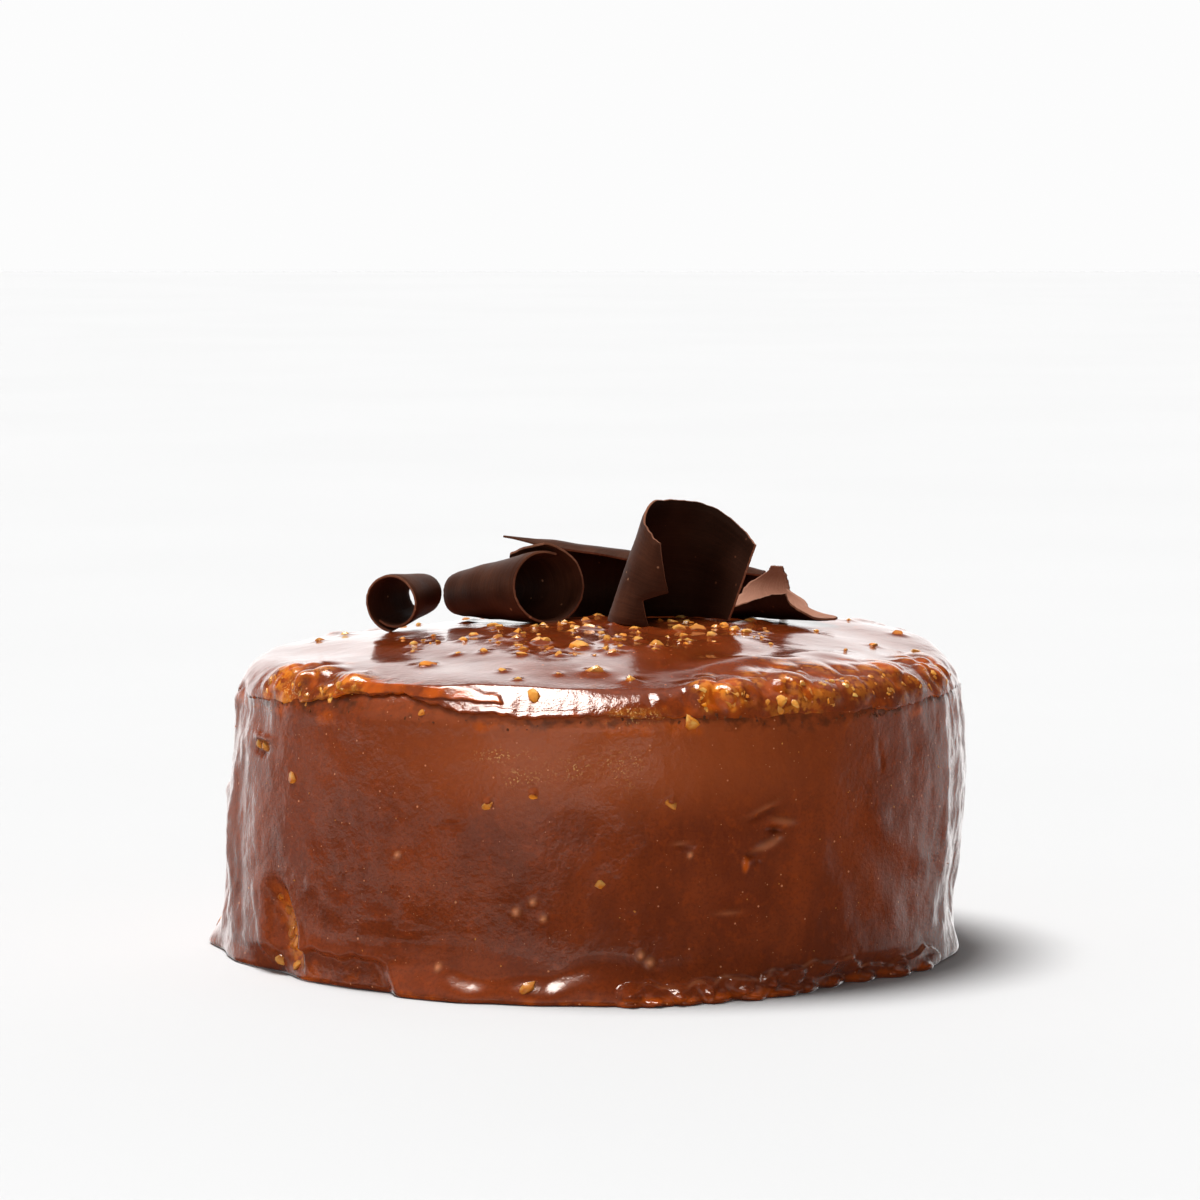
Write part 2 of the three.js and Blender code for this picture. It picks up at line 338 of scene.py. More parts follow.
def settle(piece: Piece, slot: str, *nodes: str) -> None:
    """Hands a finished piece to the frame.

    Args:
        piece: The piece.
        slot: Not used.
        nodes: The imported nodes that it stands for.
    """
    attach(piece, BODY)
    if nodes:
        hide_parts(*nodes)
    LOG.info("%s: %d faces", piece.name, len(piece.data.polygons))


def finish_skin(sheet: Piece, glaze: Material) -> Piece:
    """Closes a skin of the glaze, smooths it, coats it and hands it to the frame.

    Args:
        sheet: The rolled grid.
        glaze: Its finish.

    Returns:
        The piece.
    """
    close_seams(sheet)
    shade_smooth(sheet)
    sheet.data.materials.append(glaze)
    settle(sheet, "glaze", "glazed_cake")
    return sheet


# Shader work


def linear(colour: Colour) -> tuple[float, float, float, float]:
    """Screen colour from 0 to 255 as the shader's own values.

    Args:
        colour: Red, green and blue.

    Returns:
        Those values, with full opacity.
    """
    shares = [channel / 255.0 for channel in colour]
    values = [s / 12.92 if s <= 0.04045 else ((s + 0.055) / 1.055) ** 2.4 for s in shares]
    return (values[0], values[1], values[2], 1.0)


def fill_inputs(tree: Tree, node: bpy.types.Node, inputs: dict) -> None:
    """Sets inputs of a node, or links them where a socket is given.

    Args:
        tree: Where the node is.
        node: The node.
        inputs: Values or sockets by the name or number of the input.
    """
    for name, value in inputs.items():
        if isinstance(value, Socket):
            tree.links.new(value, node.inputs[name])
        else:
            node.inputs[name].default_value = value


def add_node(tree: Tree, kind: str, inputs: dict | None = None, **settings: object) -> bpy.types.Node:
    """Adds a node, sets its fields and fills its inputs.

    Args:
        tree: Where the node goes.
        kind: Type of the node.
        inputs: Values or sockets by the name or number of the input.
        settings: Values of its fields.

    Returns:
        The new node.
    """
    node = tree.nodes.new(kind)
    for name, value in settings.items():
        setattr(node, name, value)
    fill_inputs(tree, node, inputs or {})
    return node


def mix_colour(tree: Tree, share: object, first: object, second: object) -> Socket:
    """Colour between two, by the share of the second."""
    inputs = {0: share, 6: first, 7: second}
    return add_node(tree, "ShaderNodeMix", inputs, data_type="RGBA").outputs[2]


def ramp(tree: Tree, value: Socket, low: object, high: object) -> Socket:
    """Eases a value from 0 at low to 1 at high."""
    inputs = {"Value": value, "From Min": low, "From Max": high}
    return add_node(tree, "ShaderNodeMapRange", inputs, interpolation_type="SMOOTHSTEP").outputs[0]


def calc(tree: Tree, operation: str, first: object, second: object = 0.0, third: object = 0.0) -> Socket:
    """Result of a sum on up to three values or sockets."""
    inputs = {0: first, 1: second, 2: third}
    return add_node(tree, "ShaderNodeMath", inputs, operation=operation).outputs[0]


def noise(tree: Tree, vector: Socket, scale: object, detail: object) -> Socket:
    """Noise from 0 to 1, by its lumps to the metre and its finer layers."""
    inputs = {"Vector": vector, "Scale": scale, "Detail": detail}
    return add_node(tree, "ShaderNodeTexNoise", inputs).outputs[0]


def facing(tree: Tree, way: Socket, direction: tuple[float, float, float]) -> Socket:
    """Cosine of the angle between a way and a direction."""
    inputs = {0: way, 1: direction}
    return add_node(tree, "ShaderNodeVectorMath", inputs, operation="DOT_PRODUCT").outputs["Value"]


def new_group(name: str, values: tuple[str, ...]) -> tuple[Tree, dict[str, Socket], Socket]:
    """Starts a shader node group that reads a place and some values.

    Args:
        name: Name of the group.
        values: Names of the values that it reads.

    Returns:
        The group, its inputs by name, and the socket that takes its result.
    """
    group = bpy.data.node_groups.new(name, "ShaderNodeTree")
    group.interface.new_socket("Vector", in_out="INPUT", socket_type="NodeSocketVector")
    for label in values:
        group.interface.new_socket(label, in_out="INPUT", socket_type="NodeSocketFloat")
    group.interface.new_socket("Result", in_out="OUTPUT", socket_type="NodeSocketFloat")
    entry = group.nodes.new("NodeGroupInput")
    leave = group.nodes.new("NodeGroupOutput")
    return group, {socket.name: socket for socket in entry.outputs if socket.name}, leave.inputs["Result"]


def mottle_group() -> Tree:
    """Cloudy mask whose contrast is set by its low and high values.

    Returns:
        The group.
    """
    group, given, result = new_group("mottle", ("Scale", "Detail", "Low", "High"))
    cloud = noise(group, given["Vector"], given["Scale"], given["Detail"])
    group.links.new(ramp(group, cloud, given["Low"], given["High"]), result)
    return group


def specks_group() -> Tree:
    """Round specks in a share of the cells of a scattered pattern.

    Returns:
        The group.
    """
    group, given, result = new_group("specks", ("Scale", "Size", "Share"))
    inputs = {"Vector": given["Vector"], "Scale": given["Scale"]}
    cells = add_node(group, "ShaderNodeTexVoronoi", inputs).outputs
    parts = add_node(group, "ShaderNodeSeparateColor", {0: cells["Color"]}).outputs
    chosen = calc(group, "LESS_THAN", parts[0], given["Share"])
    size = calc(group, "MULTIPLY", given["Size"], parts[1])
    inner = calc(group, "MULTIPLY", size, 0.6)
    spot = calc(group, "SUBTRACT", 1.0, ramp(group, cells["Distance"], inner, size))
    group.links.new(calc(group, "MULTIPLY", chosen, spot), result)
    return group


def grain_group() -> Tree:
    """Height of a fine skin: soft pores with finer grit on them.

    Returns:
        The group.
    """
    group, given, result = new_group("grain", ("Scale", "Grit"))
    soft = noise(group, given["Vector"], given["Scale"], 1.0)
    fine = noise(group, given["Vector"], calc(group, "MULTIPLY", given["Scale"], 3.3), 2.0)
    group.links.new(calc(group, "MULTIPLY_ADD", fine, given["Grit"], soft), result)
    return group


class Effects:
    """The shader node groups that the finishes share, built once."""

    def __init__(self) -> None:
        """Builds each group."""
        self.mottle = mottle_group()
        self.specks = specks_group()
        self.grain = grain_group()


class Shading:
    """A material in the making: its nodes, its colour so far and the patterns it can take."""

    def __init__(self, name: str, effects: Effects, colour: Colour) -> None:
        """Starts a material of one colour.

        Args:
            name: Name of the material.
            effects: The shared node groups.
            colour: The colour under all the others.
        """
        self.effects = effects
        self.material = bpy.data.materials.new(name)
        self.material.use_nodes = True
        self.tree = self.material.node_tree
        self.coordinates = add_node(self.tree, "ShaderNodeTexCoord").outputs
        self.colour = linear(colour)

    def masks(self, name: str) -> tuple[Socket, Socket, Socket, Socket]:
        """The four masks that are painted on a piece under a name, in order.

        Args:
            name: Name that they are painted under.

        Returns:
            The masks.
        """
        marks = add_node(self.tree, "ShaderNodeAttribute", attribute_name=name).outputs
        parts = add_node(self.tree, "ShaderNodeSeparateColor", {0: marks["Color"]}).outputs
        return parts[0], parts[1], parts[2], marks["Alpha"]

    def pattern(self, group: Tree, **inputs: object) -> Socket:
        """Result of a shared group, read at each point's own place unless a Vector is given."""
        inputs = {"Vector": self.coordinates["Object"]} | inputs
        return add_node(self.tree, "ShaderNodeGroup", inputs, node_tree=group).outputs[0]

    def cloud(self, scale: float, low: float, high: float, detail: float = 3.0, **place: Socket) -> Socket:
        """Cloudy mask that rises from 0 to 1 between two values of its noise."""
        return self.pattern(self.effects.mottle, Scale=scale, Detail=detail, Low=low, High=high, **place)

    def dots(self, scale: float, size: float, share: float) -> Socket:
        """Round specks in a share of the cells of a pattern."""
        return self.pattern(self.effects.specks, Scale=scale, Size=size, Share=share)

    def skin(self, scale: float, grit: float) -> Socket:
        """Height of a fine skin."""
        return self.pattern(self.effects.grain, Scale=scale, Grit=grit)

    def stretched(self, coordinates: str, scale: tuple[float, float, float]) -> Socket:
        """Coordinates of one kind, scaled in each direction."""
        inputs = {"Vector": self.coordinates[coordinates], "Scale": scale}
        return add_node(self.tree, "ShaderNodeMapping", inputs).outputs[0]

    def broken(self, mask: Socket, cloud: Socket, amount: float, full: float) -> Socket:
        """A mask whose edge a cloud breaks up.

        Args:
            mask: The mask.
            cloud: The cloud.
            amount: How far the cloud shifts the edge.
            full: Value from which the mask is whole.

        Returns:
            The broken mask.
        """
        shift = calc(self.tree, "MULTIPLY", calc(self.tree, "SUBTRACT", cloud, 0.5), amount)
        return ramp(self.tree, calc(self.tree, "ADD", mask, shift), 0.25, full)

    def lay(self, share: Socket, colour: Colour, amount: float = 1.0) -> None:
        """Lays a colour over the others, by a mask and an amount."""
        weight = calc(self.tree, "MULTIPLY", share, amount)
        self.colour = mix_colour(self.tree, weight, self.colour, linear(colour))

    def bump(self, height: Socket, strength: float, distance: float) -> Socket:
        """Normal of the surface with a fine height on it."""
        inputs = {"Height": height, "Strength": strength, "Distance": distance}
        return add_node(self.tree, "ShaderNodeBump", inputs).outputs["Normal"]

    def finished(self, inputs: dict) -> Material:
        """The material, once its surface has its colour and these other inputs.

        Args:
            inputs: Values or sockets by the name of the input.

        Returns:
            The material.
        """
        surface = self.tree.nodes["Principled BSDF"]
        fill_inputs(self.tree, surface, {"Base Color": self.colour} | inputs)
        return self.material


# Finishes


@dataclass(frozen=True)
class GlazeFinish:
    """Wet poured chocolate glaze: brown, orange where thin, gold over nuts, dark along its seam, with painted
    shade in deep pits, painted light on the upper front wall and painted glints on grainy patches.
    """

    brown: Colour = (146, 62, 24)
    deep_brown: Colour = (126, 51, 19)
    dark_brown: Colour = (104, 42, 16)
    red_brown: Colour = (160, 66, 20)
    # Painted light: the lit upper front of the wall is laid in this lighter brown.
    painted_lit_brown: Colour = (182, 87, 41)
    orange: Colour = (200, 87, 13)
    gold: Colour = (255, 154, 46)
    seam: Colour = (76, 41, 20)
    tan: Colour = (236, 152, 104)
    # Painted glints: tiny highlights on grainy patches are laid in this colour.
    painted_glint: Colour = (255, 196, 116)
    coat_weight: float = 0.5
    coat_roughness: float = 0.03
    translucency: float = 0.12
    sheen_tint: Colour = (255, 226, 206)

    def lay_browns(self, shading: Shading) -> None:
        """Lays the browns of plain glaze: broad clouds, red patches, hanging streaks and fine meal.

        Args:
            shading: The material in the making.
        """
        shading.lay(shading.cloud(40.0, 0.35, 0.65), self.deep_brown)
        shading.lay(shading.cloud(420.0, 0.48, 0.72), self.red_brown, 0.55)
        hanging = shading.stretched("Object", (1.0, 1.0, 0.3))
        shading.lay(shading.cloud(150.0, 0.42, 0.7, 5.0, Vector=hanging), self.dark_brown, 0.36)
        shading.lay(shading.cloud(1250.0, 0.45, 0.68, 2.0), self.dark_brown, 0.4)

    def material(self, effects: Effects) -> Material:
        """Builds the glaze.

        Args:
            effects: The shared node groups.

        Returns:
            The material, which reads the masks thin, seam (with painted shade in deep pits), gold and grain
            with painted glints, and painted light, tan (with painted highlights) and even.
        """
        shading = Shading("wet_glaze", effects, self.brown)
        tree = shading.tree
        thin, seam, gold, grain_and_painted_glints = shading.masks("marks")
        painted_light_mask, tan, even, _ = shading.masks("tone")
        self.lay_browns(shading)
        # Painted light: the upper front of the wall is made lighter by this mask.
        shading.lay(painted_light_mask, self.painted_lit_brown)
        shading.lay(shading.broken(thin, shading.cloud(190.0, 0.3, 0.7), 0.5, 0.95), self.orange)
        flecks = calc(tree, "MULTIPLY", gold, shading.cloud(520.0, 0.4, 0.57, 6.0))
        shading.lay(flecks, self.gold, 0.92)
        # Dark crumb along the seam, and painted shade in the deep pits of the wall.
        shading.lay(shading.broken(seam, shading.cloud(330.0, 0.3, 0.7, 5.0), 0.6, 0.85), self.seam, 0.7)
        coarse = calc(tree, "MULTIPLY", shading.dots(480.0, 0.2, 0.22), 0.8)
        fine = calc(tree, "MULTIPLY", shading.dots(900.0, 0.2, 0.16), 0.6)
        # Tan specks and pale pimple tips, with painted highlights on dent faces and the ledge's edge.
        shading.lay(calc(tree, "MAXIMUM", calc(tree, "MAXIMUM", coarse, fine), tan), self.tan)
        # Painted glints: fine spots of pale gold over the grainy patches stand in for tiny highlights.
        glints = calc(tree, "MULTIPLY", shading.cloud(1500.0, 0.55, 0.66, 4.0), grain_and_painted_glints)
        shading.lay(glints, self.painted_glint, 0.9)
        depth = calc(tree, "MULTIPLY_ADD", grain_and_painted_glints, 0.3, calc(tree, "MULTIPLY_ADD", even, -0.24, 0.3))
        normal = shading.bump(calc(tree, "MULTIPLY", shading.skin(700.0, 0.5), depth), 0.5, 0.0008)
        return shading.finished(
            {
                "Roughness": calc(tree, "MULTIPLY_ADD", shading.cloud(60.0, 0.3, 0.7), 0.08, 0.11),
                "IOR": 1.45,
                "Specular Tint": linear(self.sheen_tint),
                "Coat Weight": self.coat_weight,
                "Coat Roughness": self.coat_roughness,
                "Subsurface Weight": self.translucency,
                "Subsurface Radius": (1.0, 0.35, 0.12),
                "Subsurface Scale": 0.003,
                "Normal": normal,
                "Coat Normal": normal,
            }
        )


@dataclass(frozen=True)
class NutFinish:
    """Chopped roasted hazelnut, golden where bare, paler on chopped sides and on its tops as painted light,
    and brown where glaze covers it.
    """

    pale: Colour = (255, 204, 112)
    golden: Colour = (255, 146, 14)
    roasted: Colour = (222, 92, 4)
    glazed: Colour = (168, 72, 14)

    def material(self, effects: Effects) -> Material:
        """Builds the nut.

        Args:
            effects: The shared node groups.

        Returns:
            The material, which reads the masks tone, which carries painted light on the tops, and coat.
        """
        shading = Shading("chopped_hazelnut", effects, self.golden)
        tone, coat, _, _ = shading.masks("marks")
        # The tone mask carries painted light: the tops of the nuts are laid paler.
        shading.lay(tone, self.pale)
        shading.lay(shading.cloud(700.0, 0.5, 0.72), self.roasted, 0.6)
        shading.lay(coat, self.glazed)
        return shading.finished(
            {
                "Roughness": calc(shading.tree, "MULTIPLY_ADD", coat, -0.15, 0.42),
                "Specular Tint": linear(self.pale),
                "Coat Weight": 0.5,
                "Coat Roughness": 0.05,
                "Subsurface Weight": 0.2,
                "Subsurface Radius": (1.0, 0.8, 0.5),
                "Subsurface Scale": 0.0005,
                "Normal": shading.bump(shading.skin(1600.0, 0.4), 0.25, 0.0004),
            }
        )


@dataclass(frozen=True)
class CrumbFinish:
    """Dark cake crumb caught in the glaze under the lip."""

    crumb: Colour = (94, 48, 22)
    toasted: Colour = (132, 68, 30)

    def material(self, effects: Effects) -> Material:
        """Builds the crumb.

        Args:
            effects: The shared node groups.

        Returns:
            The material.
        """
        shading = Shading("dark_crumb", effects, self.crumb)
        shading.lay(shading.cloud(600.0, 0.42, 0.66), self.toasted)
        normal = shading.bump(shading.skin(1500.0, 0.8), 0.5, 0.0005)
        return shading.finished({"Roughness": 0.7, "Specular IOR Level": 0.15, "Normal": normal})


@dataclass(frozen=True)
class ChocolateFinish:
    """Satin dark chocolate, shaved in faint lines round each roll."""

    name: str = "shaved_chocolate"
    dark: Colour = (62, 33, 22)
    light: Colour = (91, 52, 35)
    bloom: Colour = (198, 142, 106)
    roughness: float = 0.48
    sheen_tint: Colour = (255, 200, 168)

    def material(self, effects: Effects) -> Material:
        """Builds the chocolate.

        Args:
            effects: The shared node groups.

        Returns:
            The material, which reads the roll's own map for its lines.
        """
        shading = Shading(self.name, effects, self.dark)
        tree = shading.tree
        lines = noise(tree, shading.stretched("UV", (3.0, 60.0, 1.0)), 1.0, 3.0)
        cloud = shading.cloud(90.0, 0.35, 0.7)
        streaks = calc(tree, "MULTIPLY", ramp(tree, lines, 0.4, 0.7), 0.35)
        shading.lay(calc(tree, "MULTIPLY_ADD", cloud, 0.65, streaks), self.light)
        shading.lay(shading.dots(360.0, 0.22, 0.3), self.bloom, 0.75)
        height = calc(tree, "MULTIPLY", calc(tree, "ADD", shading.skin(1100.0, 0.5), lines), 0.6)
        return shading.finished(
            {
                "Roughness": calc(tree, "MULTIPLY_ADD", cloud, 0.12, self.roughness),
                "Specular IOR Level": 0.22,
                "Specular Tint": linear(self.sheen_tint),
                "Normal": shading.bump(height, 0.22, 0.0004),
            }
        )


@dataclass(frozen=True)
class FloorFinish:
    """Plain pale paper under the cake, faintly uneven."""

    pale: Colour = (220, 220, 220)
    grey: Colour = (218, 218, 218)

    def material(self, effects: Effects) -> Material:
        """Builds the floor's paper.

        Args:
            effects: The shared node groups.

        Returns:
            The material.
        """
        shading = Shading("pale_floor", effects, self.pale)
        shading.lay(shading.cloud(3.0, 0.2, 0.8, 2.0), self.grey)
        return shading.finished({"Roughness": 0.9, "Specular IOR Level": 0.1})


# The glazed cake


@dataclass(frozen=True)
class Mark:
    """A lump or hollow in the glaze: place, half spans, depth, how steep its sides are and its rise."""

    angle: float
    height: float
    across: float
    tall: float
    depth: float
    crispness: float = 1.0
    rise: float = 0.0

    def share(self, angle: Array, height: Array) -> Array:
        """How much of the mark there is at places round and up the wall.

        Args:
            angle: Degrees from the front.
            height: Heights of the bare cake.

        Returns:
            Shares from 0 to 1.
        """
        aside = angle_from(angle, self.angle)
        above = height - self.height - self.rise * aside
        return mound(np.hypot(aside / self.across, above / self.tall), 1.0, self.crispness)


def strongest(marks: tuple[Mark, ...], angle: Array, height: Array) -> Array:
    """The most that any of the marks comes to at places round and up the wall."""
    return np.maximum.reduce([mark.depth * mark.share(angle, height) for mark in marks])


def lit_facets(facets: Spots, angle: Array, height: Array, radius: float, slope: float) -> Array:
    """Small flats of glaze that face the soft light above the front left.

    Args:
        facets: Degrees from the front, height and half span of each.
        angle: Degrees from the front.
        height: Heights of the bare cake.
        radius: Radius of the cake there.
        slope: How much they lean back from the face they sit on.

    Returns:
        Millimetres outwards.
    """
    reach = np.zeros_like(angle)
    for turn, middle, span in facets:
        aside = angle_from(angle, turn) * math.radians(radius)
        above = height - middle
        share = mound(np.hypot(aside, above), span, 1.5)
        turned = math.tan(math.radians(turn - LIT_ANGLE))
        reach += share * (turned * aside + slope * (0.7 * span - above))
    return reach


@dataclass(frozen=True)
class Lobe:
    """A lobe of glaze pooled at the foot: where, how wide, how far out, how tall."""

    angle: float
    width: float
    reach: float
    tall: float = 9.0

    def share(self, angle: Array, crispness: float = 1.0) -> Array:
        """How much of the lobe there is at angles round the foot."""
        return sector(angle, self.angle, self.width, crispness)


@dataclass(frozen=True)
class CakeForm:
    """The form that the two skins of the glaze share, in millimetres and degrees."""

    foot_radius: float = 105.0
    waist_radius: float = 103.2
    waist_height: float = 13.0
    belly_radius: float = 106.2
    neck_radius: float = 102.8
    neck_height: float = 71.0
    dome_radius: float = 88.0
    dome_edge_height: float = 84.6
    dome_height: float = 91.5
    lean: float = 3.6
    lip_height: float = 77.5
    runs_depth: float = 0.9
    runs_from: Pair = (56.0, 85.0)
    swell_at: Pair = (74.0, 44.0)
    swell_reach: float = 46.0
    swell_rise: float = 4.0
    ripple: float = 0.35
    lobes: tuple[Lobe, ...] = (
        Lobe(-93, 9, 2.6), Lobe(-56, 13, -4), Lobe(-24, 9, 3.2), Lobe(-6, 13, 6), Lobe(11, 8, 5),
        Lobe(25, 6, 1.6), Lobe(45, 12, -6), Lobe(78, 6, 1.4), Lobe(118, 14, 2.4), Lobe(150, 10, 1.6),
        Lobe(188, 16, 2.8), Lobe(226, 12, 1.8),
    )
    big_marks: tuple[Mark, ...] = (
        Mark(-54, 14, 5, 11, -2.6), Mark(-66, 79, 12, 5, 1.4), Mark(34, 81, 14, 5, 1.9),
        Mark(58, 80, 12, 6, 1.2), Mark(29, 32, 4, 8, -1.0), Mark(-92, 44, 3, 3, 1.6),
        Mark(-14, 6, 11, 5, 1.8),
    )

    def shoulder(self, share: Array) -> Array:
        """Radius and height over the shoulder, from the neck at 0 to the dome's edge at 1.

        Args:
            share: Shares of the way.

        Returns:
            Radius and height, two to a row.
        """
        slope = 2 * (self.dome_height - self.dome_edge_height) / self.dome_radius
        corner = self.dome_edge_height - slope * (self.neck_radius - self.dome_radius)
        neck = (self.neck_radius, self.neck_height)
        edge = (self.dome_radius, self.dome_edge_height)
        return bezier(neck, (self.neck_radius, corner), edge, share)

    def wall_radius(self, height: Array) -> Array:
        """Radius of the bare wall and shoulder at heights.

        Args:
            height: The heights.

        Returns:
            The radii.
        """
        share = np.linspace(0.0, 1.0, 240)
        waist = (self.waist_radius, self.waist_height)
        pull = (self.foot_radius, self.waist_height * 0.45)
        foot = bezier((self.foot_radius, 0.0), pull, waist, share)
        belly = (self.belly_radius, (self.waist_height + self.neck_height) / 2)
        wall = bezier(waist, belly, (self.neck_radius, self.neck_height), share)
        outline = np.vstack([foot, wall, self.shoulder(share)])
        radius = np.interp(height, outline[:, 1], outline[:, 0])
        nearby = [np.interp(height + shift, outline[:, 1], outline[:, 0]) for shift in range(-8, 9)]
        return radius + mound(height - self.waist_height, 13.0) * (np.mean(nearby, axis=0) - radius)

    def dome(self, radius: Array) -> Array:
        """Height of the bare dome at distances from the axis."""
        rise = self.dome_height - self.dome_edge_height
        return self.dome_height - rise * np.square(radius / self.dome_radius)

    def runs(self, angle: Array, height: Array) -> Array:
        """Ridges of glaze down the wall, strongest at the two sides and the back.

        Args:
            angle: Degrees from the front.
            height: Heights of the bare cake.

        Returns:
            Millimetres outwards.
        """
        turn = np.radians(angle)
        drift = math.radians(4) * np.sin(height / 13 + 3 * turn)
        coarse = np.sin(17 * (turn + drift))
        fine = np.sin(29 * (turn - drift) + 1)
        away = smoothstep(np.abs(angle), *self.runs_from)
        on_wall = smoothstep(height, 0, self.waist_height)
        on_wall = on_wall * (1 - smoothstep(height, self.neck_height, self.dome_edge_height))
        ridge = coarse + 0.4 * (fine - coarse)
        return self.runs_depth * ridge * on_wall * (0.15 + 0.85 * away)

    def skirt_reach(self, angle: Array) -> Array:
        """How far the glaze pools out at the foot.

        Args:
            angle: Degrees from the front.

        Returns:
            Millimetres outwards.
        """
        turn = np.radians(angle)
        reach = 0.7 * np.sin(23 * turn) * np.sin(9 * turn + 1)
        for lobe in self.lobes:
            reach = reach + lobe.reach * lobe.share(angle)
        return reach

    def big_relief(self, angle: Array, height: Array) -> Array:
        """The large lumps and hollows of the wall and shoulder."""
        return sum(mark.depth * mark.share(angle, height) for mark in self.big_marks)

    def top_relief(self, x: Array, y: Array) -> Array:
        """Height added to the domed top.

        Args:
            x: Places to the right of the middle.
            y: Places behind the middle.

        Returns:
            Millimetres upwards.
        """
        apart = np.hypot(x - self.swell_at[0], y - self.swell_at[1])
        waves = np.sin(x / 13 + 1) * np.sin(y / 11)
        across = np.sin((x + y) / 7)
        return self.swell_rise * mound(apart, self.swell_reach) + self.ripple * (waves + across / 2)

    def placed(self, angle: Array, radius: Array, height: Array, base_height: Array) -> Array:
        """Places of points given round the cake.

        Args:
            angle: Degrees from the front.
            radius: Distance from the axis.
            height: Height.
            base_height: Height of the bare cake there, which sets how far the point leans over.

        Returns:
            Points in millimetres.
        """
        turn = np.radians(angle)
        shift = self.lean * smoothstep(base_height, 0, self.neck_height)
        return np.stack([radius * np.sin(turn) + shift, -radius * np.cos(turn), height], axis=1)


@dataclass(frozen=True)
class RimZone:
    """A stretch of the rim where nuts push through thin glaze."""

    angle: float
    half_width: float
    height: float
    tall: float
    amount: float

    def share(self, angle: Array, height: Array) -> Array:
        """How much of the zone there is at places round and up the rim."""
        across = sector(angle, self.angle, self.half_width, 2.0)
        return self.amount * across * mound(height - self.height, self.tall, 2.0)


RIM_ZONES = (
    RimZone(-58, 7, 79.5, 5.5, 1.0), RimZone(-46, 4, 80.5, 3.5, 0.8), RimZone(19, 4, 81, 4, 1.0),
    RimZone(31, 8, 80.5, 4.6, 0.7), RimZone(37, 6, 85.6, 2.4, 0.6), RimZone(43, 6, 82, 3.6, 0.55),
    RimZone(55, 5, 82, 3.6, 0.75), RimZone(71, 7, 81.5, 4, 0.8), RimZone(118, 10, 80, 5, 0.6),
    RimZone(165, 9, 81, 4, 0.7), RimZone(232, 11, 80, 5, 0.6),
)


def rim_share(angle: Array, height: Array) -> Array:
    """How much the nuts push through the rim, from 0 to 1."""
    return np.maximum.reduce([zone.share(angle, height) for zone in RIM_ZONES])


@dataclass(frozen=True)
class NutSpot:
    """A chopped nut on the top: its place and radius in millimetres."""

    x: float
    y: float
    radius: float


